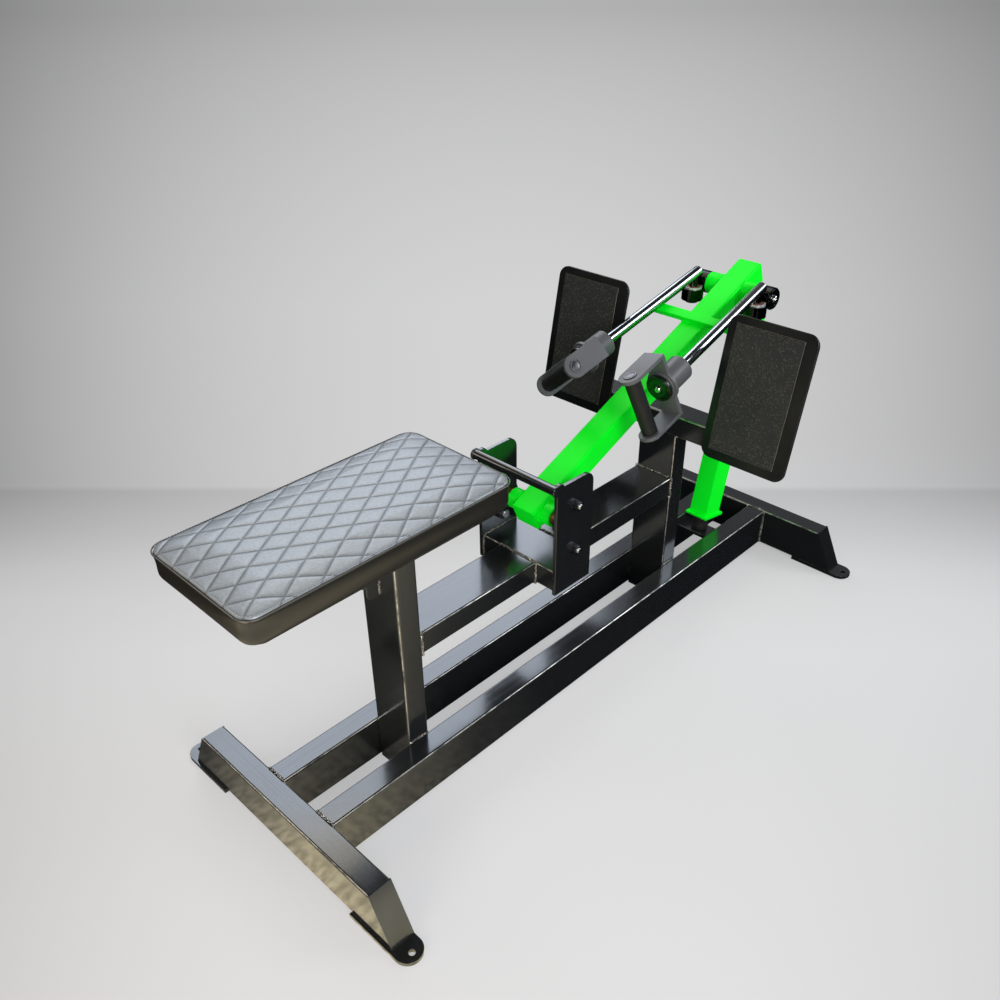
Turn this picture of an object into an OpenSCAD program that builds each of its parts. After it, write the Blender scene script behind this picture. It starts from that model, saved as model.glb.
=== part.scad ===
// Plate-loaded row machine, seated, with a long quilted bench and two swivelling handles.
// Units are millimetres. The origin is on the floor, on the mid-plane, halfway along the base.
// X runs from the seat end to the weight end, Y to the user's left as they face the foot plates, Z up.

/* [Base frame] */
// Length of the base over both cross-members
base_length = 1550; // [1450:10:1650]
// Short side of the steel tube sections
tube_w = 50; // [40:1:60]
// Long side of the steel tube sections
tube_h = 100; // [90:1:110]
// Wall of the tube sections
tube_wall = 3; // [2:0.5:5]
// Clear width between the two rails
rail_gap = 100; // [90:2:120]
// Half the length of a cross-member along its top
cross_half_top = 257; // [220:1:300]
// How much further each slanted end reaches at the bottom
cross_slant = 50; // [20:1:70]
// Thickness of the plates under the cross-member ends
floor_plate_t = 8; // [5:1:12]
// Distance of each floor bolt hole from the mid-plane
floor_hole_y = 335; // [325:1:345]
// Diameter of the floor bolt holes
floor_hole_d = 12; // [10:1:14]

/* [Spine] */
// Height of the underside of the two beams
beam_z = 308; // [290:1:330]
// Position of the front face of the cross box, which carries the pivot plates
cross_box_x = -138; // [-150:1:-130]
// Position of the rear face of the seat post
seat_post_x = -450; // [-480:1:-420]
// Position of the front face of the mid post
mid_post_x = 331; // [320:1:345]

/* [Pivot] */
// Pivot axis along the base
pivot_x = -88.3; // [-92:0.1:-84]
// Pivot axis above the floor
pivot_z = 448; // [440:1:456]
// Thickness of the pivot plates
pivot_plate_t = 8; // [6:1:12]
// Diameter of the pivot shaft
shaft_d = 25; // [20:1:30]
// Distance between the two bolts of a pivot bearing
bearing_bolt_gap = 103; // [95:1:105]
// Diameter of the stop rod between the pivot plates
stop_rod_d = 20; // [14:1:24]

/* [Seat] */
// Length of the bench cushion
seat_length = 546; // [480:1:570]
// Width of the bench cushion
seat_width = 279; // [240:1:310]
// Thickness of the cushion at its edge seam
seat_side = 53; // [45:1:60]
// Rise of the crown above the edge seam
seat_crown = 8; // [4:1:12]
// Underside of the cushion above the floor
seat_z = 597; // [580:1:620]
// Centre of the cushion along the base
seat_x = -560; // [-575:0.5:-550]

/* [Foot plates] */
// Width of a foot plate
foot_w = 204; // [180:1:220]
// Height of a foot plate along its slope
foot_h = 313; // [280:1:330]
// Backward lean of the foot plates from upright
foot_lean = 10.9; // [5:0.1:15]
// Distance from the mid-plane to the centre of a foot plate
foot_y = 233; // [225:1:245]
// Centre of a foot plate above the floor
foot_z = 618; // [600:1:630]

/* [Lever arm] */
// Angle of the arm above level while it rests on the bumper
arm_angle = 23; // [21:0.1:24]
// Width of the arm tube
arm_w = 60; // [50:1:64]
// Depth of the arm tube
arm_h = 50; // [45:1:55]
// Length of the arm from the pivot to its upper end
arm_length = 805; // [790:1:820]
// Distance from the handle axle to the upper end of the arm
axle_inset = 72; // [65:1:80]
// Backward lean of the strut from upright
strut_lean = 11.3; // [8:0.1:13]
// Depth of the strut tube
strut_depth = 67; // [60:1:70]
// Diameter of the rubber bumper
bumper_d = 42; // [30:1:50]

/* [Weight horn] */
// Diameter of the horn for plates with a 50 mm hole
horn_d = 49; // [47:0.5:49.5]
// Free length of the horn that holds weight plates
horn_load = 150; // [120:5:170]
// Height of the horn where it leaves the strut
horn_z = 455; // [440:1:470]
// Upward tilt of the horn
horn_tilt = 5; // [3:0.5:8]

/* [Handles] */
// Distance of each handle pin from the mid-plane
pin_y = 84; // [82:1:90]
// Diameter of the handle bars
bar_d = 25; // [22:1:28]
// Downward tilt of the handle bars towards the user
bar_tilt = 16.4; // [15:0.1:18]
// Outward turn of the left bar as it lies
left_yaw = 4.4; // [0:0.1:7]
// Outward turn of the right bar as it lies
right_yaw = 1.7; // [-1:0.1:7]
// Turn of the left handle about its bar as it hangs
left_roll = 50; // [-60:1:60]
// Turn of the right handle about its bar as it hangs
right_roll = -14; // [-60:1:60]
// Distance from the pin to the middle of the grip
grip_reach = 456; // [445:1:470]
// Diameter of the grip
grip_d = 33; // [28:1:38]
// Clear length of the grip between the handle ears
grip_length = 129; // [115:1:140]

/* [Hidden] */
$fn = 64;
running_gap = 0.05;
part_gap = 0.3;
tube_r = 5;
weld_t = 3;

rail_end = base_length / 2 - tube_w;
rail_y = rail_gap / 2;
base_top = floor_plate_t + tube_h;
floor_plate_lip = 5;
floor_plate_inner = 200;
floor_plate_w = tube_w + floor_plate_lip;
floor_plate_bend = floor_hole_y - 10;
cross_half_bottom = cross_half_top + cross_slant;

box_w = tube_h;
box_half = rail_y + tube_w;
box_rear = cross_box_x + box_w;
seat_post_front = seat_post_x - tube_w;
mid_post_top = 466;
crossbar_d = 67;
crossbar_over = 52;
crossbar_half = foot_y + crossbar_over;
crossbar_top = mid_post_top + tube_w;

mount_t = 6;
board_t = 12;
board_z = seat_z - board_t;
mount_z = board_z - mount_t;
mount_half = 75;
mount_overhang = 205;
mount_tail = 130;
mount_front = seat_post_front - mount_overhang;
mount_rear = seat_post_x + mount_tail;
mount_bolt_inset = 25;
mount_bolt_y = 55;
mount_bolt_d = 8;
mount_grip = 8;
gusset_z = 450;
gusset_t = 8;
gusset_reach = 200;
gusset_foot = 29;
gusset_corner = 14;
gusset_edge = 12;
board_inset = 46;
board_corner = 20;
seat_corner = 30;
seat_steps = 72;

plate_y = box_half;
plate_front = 54.7;
plate_rear = 53.3;
plate_x0 = pivot_x - plate_front;
plate_x1 = pivot_x + plate_rear;
plate_z0 = beam_z - weld_t;
plate_rise = 108;
plate_z1 = pivot_z + plate_rise;
plate_corner = 24;
rod_lead = 4;
rod_x = plate_x0 - rod_lead;
rod_drop = 2;
rod_z = plate_z1 - rod_drop;
rod_seat_d = 28;
rod_collar_t = 4;
pivot_bolt_d = 12;
pivot_nut_d = 20;
pivot_nut_t = 10;
pivot_stud = 4;
pivot_head_t = 8;
washer_t = 2;
bearing_base_t = 12;
bearing_depth = 26;
bearing_ear_d = 30;
bearing_base_d = 66;
bearing_body_d = 58;
bearing_face = plate_y - bearing_depth;
boss_end = 57;
boss_d = 44;
spacer_d = 35;
spacer_end = bearing_face - part_gap;

foot_t = 6;
foot_corner = 25;
foot_lead = 3.8;
foot_x = mid_post_x + foot_lead;
sheet_t = 1.5;
sheet_margin = 48;
sheet_margin_z = 38;
sheet_shift_y = 5;
sheet_shift_z = 2;
rib_t = 8;
rib_y = 60;
rib_inset = 20;
rib_depth = 40;
rib_edge = 12;

arm_low = -30;
axle_reach = arm_length - axle_inset;
axle_x = pivot_x + axle_reach * cos(arm_angle);
axle_z = pivot_z + axle_reach * sin(arm_angle);
axle_d = 25;
sleeve_d = 50;
handle_boss_end = 64;
stop_bar_gap = 162;
stop_bar_s = axle_reach - stop_bar_gap;
stop_bar_half = 105;
stop_bar_w = 24;
stop_bar_t = 12.6;
sleeve_in = handle_boss_end + part_gap;
sleeve_out = 102;
pin_gap = 40;
pin_x = axle_x - pin_gap;
cap_t = 3;
cap_d = 46;
button_d = 18;
button_t = 5;
pin_head_t = 6;
pin_d = 20;
housing_d = 50;
bush_flange_d = 42;
bush_flange_t = 4;
housing_drop = 6.4;
housing_top = axle_z - housing_drop;
housing_h = 27;
bar_lead = 29.7;
bar_rise = 27.6;
bar_x = axle_x - bar_lead;
bar_z = axle_z + bar_rise;

hub_d = 57;
hub_start = 315;
web_start = 374;
web_t = 8;
ear_t = 8;
ear_w = 50;
ear_half = grip_length / 2;
web_disc_d = 72;
end_boss_t = 4;
end_boss_d = 62;
end_disc_d = 60;
end_disc_gap = 6;
end_disc_t = 8;
end_bolt_l = 25;
bolt_d = 10;
bar_nose = 6;
bar_ring_d = 34;
bar_ring_t = 4;
plug_t = 2;
grip_rod_d = 16;
plug_d = 27;

strut_foot_t = 8;
strut_w = 50;
strut_rim = 7;
strut_angle = 90 - strut_lean;
leg_angle = 90 + arm_angle;
arm_end_x = pivot_x + arm_length * cos(arm_angle) + arm_h / 2 * sin(arm_angle);
arm_end_z = pivot_z + arm_length * sin(arm_angle) - arm_h / 2 * cos(arm_angle);
strut_run = 77.92;
strut_foot_x = arm_end_x - strut_run;
strut_foot_z = 131.5;
bumper_h = 40;
bumper_s = -6;
bracket_l = 72;
bumper_head_t = 6;
bumper_base = -strut_foot_t - part_gap - bumper_h;
bumper_hole_d = 10;
bracket_t = 8;
horn_root = 55;
horn_collar_t = 6;
horn_collar_d = 90;
horn_root_d = 60;
horn_bore = 41;
horn_cap_t = 6;
horn_root_x = strut_foot_x + strut_depth / 2 / cos(strut_lean) + (horn_z - strut_foot_z) * tan(strut_lean);
horn_length = horn_root + horn_collar_t + horn_load;

// Rectangle with rounded corners, centred on the origin
module rounded(a, b, r) {
  union() {
    square([a - 2 * r, b], center = true);
    square([a, b - 2 * r], center = true);
    for (i = [-1, 1], j = [-1, 1]) {
      translate([i * (a / 2 - r), j * (b / 2 - r)]) circle(r);
    }
  }
}

// Steel tube of outer size a by b that stands on the XY plane
module tube(a, b, l, wall = tube_wall) {
  difference() {
    linear_extrude(l) rounded(a, b, tube_r);
    translate([0, 0, -1]) linear_extrude(l + 2) rounded(a - 2 * wall, b - 2 * wall, tube_r - wall + 0.5);
  }
}

// Cylinder along Y from y0 to y1
module along_y(d, y0, y1) {
  translate([0, y0, 0]) rotate([-90, 0, 0]) cylinder(d = d, h = y1 - y0);
}

// Flat plate in the XZ plane, cut from an outline, from y0 to y1
module sheet_y(y0, y1) {
  translate([0, y1, 0]) rotate([90, 0, 0]) linear_extrude(y1 - y0) children();
}

// Everything that follows the arm is drawn along +X from the pivot and then tilted
module on_arm() {
  translate([pivot_x, 0, pivot_z]) rotate([0, -arm_angle, 0]) children();
}

// The strut runs along +Z from its foot and leans back
module on_strut() {
  translate([strut_foot_x, 0, strut_foot_z]) rotate([0, strut_lean, 0]) children();
}

// A handle runs along -X from its pin; the side is 1 for left and -1 for right
module on_bar(side, yaw) {
  translate([bar_x, side * pin_y, bar_z]) rotate([0, 0, -side * yaw]) rotate([0, -bar_tilt, 0]) children();
}

// The part of a handle that swivels about its bar
module on_hub(side, yaw, roll) {
  on_bar(side, yaw) rotate([roll, 0, 0]) children();
}

// Point where the line through p at angle a meets the line through q at angle b
function meet(p, a, q, b) =
  let (t = ((q[0] - p[0]) * sin(b) - (q[1] - p[1]) * cos(b)) / (cos(a) * sin(b) - sin(a) * cos(b)))
  [p[0] + t * cos(a), p[1] + t * sin(a)];

// Corners of the strut in the XZ plane, set inwards by w from its walls
function strut_points(w) =
  let (
    half = strut_depth / 2 - w,
    front = [strut_foot_x - half * sin(strut_angle), strut_foot_z + half * cos(strut_angle)],
    rear = [strut_foot_x + half * sin(strut_angle), strut_foot_z - half * cos(strut_angle)],
    leg_rear = [arm_end_x - w * cos(arm_angle), arm_end_z - w * sin(arm_angle)],
    leg_front = [
      arm_end_x - (strut_depth - w) * cos(arm_angle),
      arm_end_z - (strut_depth - w) * sin(arm_angle)
    ]
  )
  [
    front,
    meet(front, strut_angle, leg_front, leg_angle),
    leg_front,
    leg_rear,
    meet(rear, strut_angle, leg_rear, leg_angle),
    rear
  ];

// Cross-member tube with slanted ends; the caps close its ends
module cross_member(x) {
  color("dimgray") intersection() {
    translate([x, cross_half_bottom, floor_plate_t + tube_h / 2])
      rotate([90, 0, 0]) tube(tube_w, tube_h, 2 * cross_half_bottom);
    translate([x, 0, 0]) slant_block();
  }
}

// Block whose ends follow the slant of the cross-members
module slant_block() {
  translate([-tube_w, 0, 0]) rotate([90, 0, 90]) linear_extrude(2 * tube_w)
    polygon([
      [-cross_half_bottom, floor_plate_t],
      [cross_half_bottom, floor_plate_t],
      [cross_half_top, base_top],
      [-cross_half_top, base_top]
    ]);
}

module front_cross_member() {
  cross_member(-base_length / 2 + tube_w / 2);
}

module rear_cross_member() {
  cross_member(base_length / 2 - tube_w / 2);
}

// Thin plates welded over the four slanted tube ends
module cross_member_caps() {
  for (i = [-1, 1], j = [-1, 1]) {
    color("dimgray") translate([i * (base_length / 2 - tube_w / 2), 0, 0]) rotate([90, 0, 90])
      translate([0, 0, -tube_w / 2]) linear_extrude(tube_w)
        polygon([
          [j * cross_half_bottom, floor_plate_t],
          [j * (cross_half_bottom + weld_t), floor_plate_t],
          [j * (cross_half_top + weld_t), base_top],
          [j * cross_half_top, base_top]
        ]);
  }
}

// Plates under the cross-member ends, with a hole each for a floor bolt
module floor_plates() {
  w = floor_plate_w;
  for (i = [-1, 1], j = [-1, 1]) {
    color("dimgray") translate([i * (base_length / 2 + floor_plate_lip - w / 2), 0, 0]) difference() {
      union() {
        translate([-w / 2, min(j * floor_plate_inner, j * floor_plate_bend), 0])
          cube([w, floor_plate_bend - floor_plate_inner, floor_plate_t]);
        translate([0, j * floor_plate_bend, 0]) cylinder(d = w, h = floor_plate_t);
      }
      translate([0, j * floor_hole_y, -1]) cylinder(d = floor_hole_d, h = floor_plate_t + 2);
    }
  }
}

module rail(side) {
  color("dimgray") translate([-rail_end, side * (rail_y + tube_w / 2), floor_plate_t + tube_h / 2])
    rotate([90, 0, 90]) tube(tube_w, tube_h, 2 * rail_end);
}

module left_rail() {
  rail(1);
}

module right_rail() {
  rail(-1);
}

// The posts stand between the rails and are welded to them
module seat_post() {
  color("dimgray") translate([seat_post_x - tube_w / 2, 0, floor_plate_t])
    tube(tube_w, rail_gap, mount_z - floor_plate_t);
}

module mid_post() {
  color("dimgray") translate([mid_post_x + tube_w / 2, 0, floor_plate_t])
    tube(tube_w, rail_gap, mid_post_top - floor_plate_t);
}

module beam(x0, x1) {
  color("dimgray") translate([x0, 0, beam_z + tube_w / 2]) rotate([90, 0, 90])
    tube(rail_gap, tube_w, x1 - x0);
}

module front_beam() {
  beam(seat_post_x, cross_box_x);
}

module rear_beam() {
  beam(box_rear, mid_post_x);
}

module cross_box() {
  color("dimgray") translate([cross_box_x + box_w / 2, box_half, beam_z + tube_w / 2])
    rotate([90, 0, 0]) tube(box_w, tube_w, 2 * box_half);
}

// Outline of a pivot plate with a rounded rear corner and a seat for the stop rod
module pivot_plate(side) {
  r = plate_corner;
  y0 = side > 0 ? plate_y : -plate_y - pivot_plate_t;
  color("dimgray") difference() {
    sheet_y(y0, y0 + pivot_plate_t) union() {
      translate([plate_x0, plate_z0]) square([plate_x1 - plate_x0 - r, plate_z1 - plate_z0]);
      translate([plate_x0, plate_z0]) square([plate_x1 - plate_x0, plate_z1 - plate_z0 - r]);
      translate([plate_x1 - r, plate_z1 - r]) circle(r);
      translate([plate_x0 + 2 * rod_lead, rod_z - rod_lead]) circle(d = rod_seat_d);
    }
    translate([rod_x, 0, rod_z]) along_y(stop_rod_d, y0 - 1, y0 + pivot_plate_t + 1);
    for (k = [-1, 1]) {
      translate([pivot_x, 0, pivot_z + k * bearing_bolt_gap / 2])
        along_y(pivot_bolt_d, y0 - 1, y0 + pivot_plate_t + 1);
    }
  }
}

module left_pivot_plate() {
  pivot_plate(1);
}

module right_pivot_plate() {
  pivot_plate(-1);
}

// Rod that stops the arm at the top of its travel, with a collar at each end
module stop_rod() {
  end = plate_y + pivot_plate_t;
  color("dimgray") translate([rod_x, 0, rod_z]) union() {
    along_y(stop_rod_d, -end, end);
    along_y(stop_rod_d + rod_collar_t, end, end + rod_collar_t);
    along_y(stop_rod_d + rod_collar_t, -end - rod_collar_t, -end);
  }
}

// Two-bolt bearing housing on the inner face of a pivot plate
module bearing(side) {
  a = side > 0 ? 0 : 180;
  color("black") translate([pivot_x, 0, pivot_z]) rotate([0, 0, a]) difference() {
    union() {
      sheet_y(plate_y - bearing_base_t, plate_y) union() {
        square([bearing_ear_d, bearing_bolt_gap], center = true);
        for (k = [-1, 1]) {
          translate([0, k * bearing_bolt_gap / 2]) circle(d = bearing_ear_d);
        }
        circle(d = bearing_base_d);
      }
      along_y(bearing_body_d, bearing_face, plate_y);
    }
    along_y(shaft_d + 2 * running_gap, bearing_face - 1, plate_y + 1);
    for (k = [-1, 1]) {
      translate([0, 0, k * bearing_bolt_gap / 2])
        along_y(pivot_bolt_d, plate_y - bearing_base_t - 1, plate_y + 1);
    }
  }
}

module left_pivot_bearing() {
  bearing(1);
}

module right_pivot_bearing() {
  bearing(-1);
}

// Bolts through the pivot plates and bearing housings, with nuts on the outside
module pivot_bolts() {
  out = plate_y + pivot_plate_t;
  inner = plate_y - bearing_base_t;
  for (side = [0, 180], k = [-1, 1]) {
    color("silver") translate([pivot_x, 0, pivot_z + k * bearing_bolt_gap / 2])
      rotate([0, 0, side]) union() {
      along_y(pivot_bolt_d, inner - pivot_head_t, out + washer_t + pivot_nut_t + pivot_stud);
      along_y(pivot_nut_d + washer_t, out, out + washer_t);
      translate([0, out + washer_t + pivot_nut_t, 0]) rotate([90, 0, 0])
        linear_extrude(pivot_nut_t) circle(d = pivot_nut_d, $fn = 6);
      translate([0, inner, 0]) rotate([90, 0, 0])
        linear_extrude(pivot_head_t) circle(d = pivot_nut_d, $fn = 6);
    }
  }
}

// Bar across the top of the mid post, behind both foot plates
module foot_crossbar() {
  color("dimgray") translate([mid_post_x + crossbar_d / 2, crossbar_half, mid_post_top + tube_w / 2])
    rotate([90, 0, 0]) tube(crossbar_d, tube_w, 2 * crossbar_half);
}

module on_foot(side) {
  translate([foot_x, side * foot_y, foot_z]) rotate([0, foot_lean, 0]) children();
}

// Upright ribs that hold the foot plates on the crossbar
module foot_plate_ribs() {
  low = -foot_h / 2 + rib_inset;
  high = foot_h / 2 - rib_inset;
  for (side = [-1, 1], k = [-1, 1]) {
    color("dimgray") difference() {
      on_foot(side) translate([foot_t, k * rib_y, 0]) sheet_y(-rib_t / 2, rib_t / 2)
        polygon([[0, low], [rib_depth, low], [rib_depth, low + rib_depth], [rib_edge, high], [0, high]]);
      translate([mid_post_x, -crossbar_half - 1, 0])
        cube([2 * crossbar_d, 2 * crossbar_half + 2, crossbar_top]);
    }
  }
}

module foot_plate(side) {
  color("black") on_foot(side) rotate([90, 0, 90]) linear_extrude(foot_t)
    rounded(foot_w, foot_h, foot_corner);
}

module left_foot_plate() {
  foot_plate(1);
}

module right_foot_plate() {
  foot_plate(-1);
}

// Rough sheet stuck on the face of a foot plate
module grip_sheet(side) {
  color("darkslategray") on_foot(side) translate([-sheet_t, sheet_shift_y, sheet_shift_z])
    rotate([90, 0, 90]) linear_extrude(sheet_t)
      square([foot_w - sheet_margin, foot_h - sheet_margin_z], center = true);
}

module left_grip_sheet() {
  grip_sheet(1);
}

module right_grip_sheet() {
  grip_sheet(-1);
}

// Tilted plate between the rails that carries the bumper
module bumper_bracket() {
  color("dimgray") on_strut() difference() {
    translate([bumper_s - bracket_l / 2, -rail_gap / 2, bumper_base - bracket_t])
      cube([bracket_l, rail_gap, bracket_t]);
    translate([bumper_s, 0, bumper_base - bracket_t - 1]) cylinder(d = bumper_hole_d, h = bracket_t + 2);
  }
}

module rubber_bumper() {
  color("black") on_strut() translate([bumper_s, 0, bumper_base]) difference() {
    cylinder(d = bumper_d, h = bumper_h);
    translate([0, 0, -1]) cylinder(d = bumper_hole_d, h = bumper_h / 2 + 1);
  }
}

// Screw from below through the bracket into the bumper
module bumper_screw() {
  color("silver") on_strut() translate([bumper_s, 0, bumper_base - bracket_t]) union() {
    cylinder(d = bumper_hole_d, h = bracket_t + bumper_h / 2);
    translate([0, 0, -bumper_head_t]) cylinder(d = bumper_hole_d + bumper_head_t, h = bumper_head_t);
  }
}

// Upright plate on the front of the seat post that carries the overhanging end of the bench
module seat_gusset() {
  color("dimgray") sheet_y(-gusset_t / 2, gusset_t / 2) polygon(concat(
    [[seat_post_front, mount_z], [seat_post_front, gusset_z]],
    [
      for (a = [270 : -15 : 180])
        [
          seat_post_front - gusset_foot + gusset_corner * (1 + cos(a)),
          gusset_z + gusset_corner * (1 + sin(a))
        ]
    ],
    [
      [seat_post_front - gusset_foot, gusset_z + 2 * gusset_corner],
      [seat_post_front - gusset_reach, mount_z - gusset_edge],
      [seat_post_front - gusset_reach, mount_z]
    ]
  ));
}

// The four places where the bench is bolted down
module at_seat_bolts() {
  for (x = [mount_front + mount_bolt_inset, mount_rear - mount_bolt_inset], j = [-1, 1]) {
    translate([x, j * mount_bolt_y, mount_z]) children();
  }
}

module seat_mount_plate() {
  color("dimgray") difference() {
    translate([mount_front, -mount_half, mount_z]) cube([mount_rear - mount_front, 2 * mount_half, mount_t]);
    at_seat_bolts() translate([0, 0, -1]) cylinder(d = mount_bolt_d + 1, h = mount_t + 2);
  }
}

// Plywood base of the cushion
module seat_board() {
  color("burlywood") difference() {
    translate([seat_x, 0, board_z]) linear_extrude(board_t - part_gap)
      rounded(seat_length - board_inset, seat_width - board_inset, board_corner);
    at_seat_bolts() cylinder(d = mount_bolt_d, h = mount_t + mount_grip);
  }
}

// Screws from below through the mount plate into the board
module seat_bolts() {
  head_t = 6;
  color("silver") at_seat_bolts() union() {
    translate([0, 0, -head_t]) cylinder(d = 2 * mount_bolt_d, h = head_t);
    cylinder(d = mount_bolt_d, h = mount_t + mount_grip);
  }
}

// Ring of points round the cushion at height z, set inwards from its outline
function seat_ring(inset, z) = [
  for (i = [0 : seat_steps - 1])
    let (
      a = i * 360 / seat_steps,
      q = floor(a / 90),
      cx = (q == 0 || q == 3 ? 1 : -1) * (seat_length / 2 - seat_corner),
      cy = (q < 2 ? 1 : -1) * (seat_width / 2 - seat_corner),
      r = seat_corner - inset
    )
    [seat_x + cx + r * cos(a), cy + r * sin(a), z]
];

// Bench cushion: drawn-in sides, an edge seam and a crowned top
module seat_cushion() {
  side = [[15, 0], [9, 0.03], [5, 0.09], [2.5, 0.2], [2, 0.35], [2.6, 0.6], [1.6, 0.85], [0, 1]];
  crown = [[2.5, 0.35], [6, 0.6], [13, 0.78], [26, 0.92], [29, 1]];
  rings = concat(
    [for (p = side) seat_ring(p[0], seat_z + part_gap + p[1] * (seat_side - part_gap))],
    [for (p = crown) seat_ring(p[0], seat_z + seat_side + p[1] * seat_crown)]
  );
  n = seat_steps;
  m = len(rings);
  points = [for (ring = rings, p = ring) p];
  sides = [
    for (j = [0 : m - 2], i = [0 : n - 1])
      for (t = [0, 1])
        t == 0
          ? [j * n + i, (j + 1) * n + i, (j + 1) * n + (i + 1) % n]
          : [j * n + i, (j + 1) * n + (i + 1) % n, j * n + (i + 1) % n]
  ];
  bottom = [[for (i = [0 : n - 1]) i]];
  top = [[for (i = [0 : n - 1]) (m - 1) * n + n - 1 - i]];
  color("lightsteelblue") polyhedron(points, concat(bottom, sides, top));
}

// Rectangular tube of the lever arm, bored through for the pivot shaft and the handle axle
module arm_tube() {
  color("lime") on_arm() difference() {
    translate([arm_low + weld_t, 0, 0]) rotate([90, 0, 90])
      tube(arm_w, arm_h, arm_length - arm_low - 2 * weld_t);
    along_y(shaft_d, -arm_w, arm_w);
    translate([axle_reach, 0, 0]) along_y(axle_d, -arm_w, arm_w);
  }
}

// Round bosses welded to both sides of the arm, s along it from the pivot
module arm_bosses(s, d, bore, end) {
  for (a = [0, 180]) {
    color("lime") on_arm() translate([s, 0, 0]) rotate([a, 0, 0]) difference() {
      along_y(d, arm_w / 2, end);
      along_y(bore, arm_w / 2 - 1, end + 1);
    }
  }
}

module pivot_bosses() {
  arm_bosses(0, boss_d, shaft_d, boss_end);
}

module handle_bosses() {
  arm_bosses(axle_reach, sleeve_d, axle_d, handle_boss_end);
}

// Flat plates that close both ends of the arm
module arm_caps() {
  for (s = [arm_low, arm_length - weld_t]) {
    color("lime") on_arm() translate([s, 0, 0]) rotate([90, 0, 90]) linear_extrude(weld_t)
      rounded(arm_w, arm_h, tube_r);
  }
}

// Flat bar across the top of the arm on which both handle bars lie
module stop_bar() {
  color("lime") on_arm() translate([stop_bar_s, -stop_bar_half, arm_h / 2])
    cube([stop_bar_w, 2 * stop_bar_half, stop_bar_t]);
}

module strut() {
  color("lime") difference() {
    sheet_y(-strut_w / 2, strut_w / 2) polygon(strut_points(0));
    sheet_y(-strut_w / 2 + tube_wall, strut_w / 2 - tube_wall) polygon(strut_points(tube_wall));
  }
}

module strut_foot() {
  color("lime") on_strut() translate([-strut_depth / 2 - strut_rim, -strut_w / 2 - strut_rim, -strut_foot_t])
    cube([strut_depth + 2 * strut_rim, strut_w + 2 * strut_rim, strut_foot_t]);
}

// The horn leaves the rear face of the strut and tilts up so that plates stay on it
module on_horn() {
  translate([horn_root_x, 0, horn_z]) rotate([0, 90 - horn_tilt, 0]) children();
}

module weight_horn() {
  foot = strut_points(0)[5];
  bend = strut_points(0)[4];
  color("silver") difference() {
    on_horn() difference() {
      union() {
        translate([0, 0, horn_root]) cylinder(d = horn_d, h = horn_length - horn_root);
        translate([0, 0, -horn_d]) cylinder(d = horn_root_d, h = horn_d + horn_root + horn_collar_t);
      }
      translate([0, 0, -horn_d - 1]) cylinder(d = horn_bore, h = horn_length + horn_d + 2);
    }
    sheet_y(-horn_d, horn_d) polygon([foot, bend, bend - [100, 0], foot - [100, 0]]);
  }
}

module horn_collar() {
  color("dimgray") on_horn() translate([0, 0, horn_root]) difference() {
    cylinder(d = horn_collar_d, h = horn_collar_t);
    translate([0, 0, -1]) cylinder(d = horn_root_d, h = horn_collar_t + 2);
  }
}

module horn_cap() {
  color("black") on_horn() translate([0, 0, horn_length]) union() {
    cylinder(d = horn_d - 1, h = horn_cap_t);
    translate([0, 0, -2 * horn_cap_t]) cylinder(d = horn_bore, h = 3 * horn_cap_t);
  }
}

module pivot_shaft() {
  color("silver") translate([pivot_x, 0, pivot_z]) along_y(shaft_d, -plate_y + 2, plate_y - 2);
}

// Bronze spacers between the arm bosses and the bearings
module shaft_spacers() {
  for (a = [0, 180]) {
    color("peru") translate([pivot_x, 0, pivot_z]) rotate([0, 0, a]) difference() {
      along_y(spacer_d, boss_end, spacer_end);
      along_y(shaft_d, boss_end - 1, spacer_end + 1);
    }
  }
}

// Axle through the top of the arm that carries both knuckles
module handle_axle() {
  half = sleeve_out + part_gap;
  color("silver") translate([axle_x, 0, axle_z]) along_y(axle_d, -half, half);
}

module axle_caps() {
  for (a = [0, 180]) {
    color("black") translate([axle_x, 0, axle_z]) rotate([0, 0, a]) difference() {
      along_y(cap_d, sleeve_out + part_gap, sleeve_out + part_gap + cap_t);
      along_y(bolt_d, sleeve_out, sleeve_out + 2 * cap_t);
    }
  }
}

module axle_cap_bolts() {
  for (a = [0, 180]) {
    color("silver") translate([axle_x, 0, axle_z]) rotate([0, 0, a]) union() {
      along_y(bolt_d, sleeve_out + part_gap, sleeve_out + part_gap + cap_t);
      along_y(button_d, sleeve_out + part_gap + cap_t, sleeve_out + part_gap + cap_t + button_t);
    }
  }
}

// Sleeve that turns on the axle, welded to the upright housing of the handle pin
module knuckle(side) {
  y0 = side > 0 ? sleeve_in : -sleeve_out;
  y1 = side > 0 ? sleeve_out : -sleeve_in;
  color("black") difference() {
    union() {
      translate([axle_x, 0, axle_z]) along_y(sleeve_d, y0, y1);
      translate([pin_x, side * pin_y, housing_top - housing_h]) cylinder(d = housing_d, h = housing_h);
    }
    translate([axle_x, 0, axle_z]) along_y(axle_d + 2 * running_gap, y0 - 1, y1 + 1);
    translate([pin_x, side * pin_y, housing_top - housing_h - 1]) cylinder(d = pin_d + 6, h = housing_h + 2);
  }
}

module left_knuckle() {
  knuckle(1);
}

module right_knuckle() {
  knuckle(-1);
}

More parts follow.
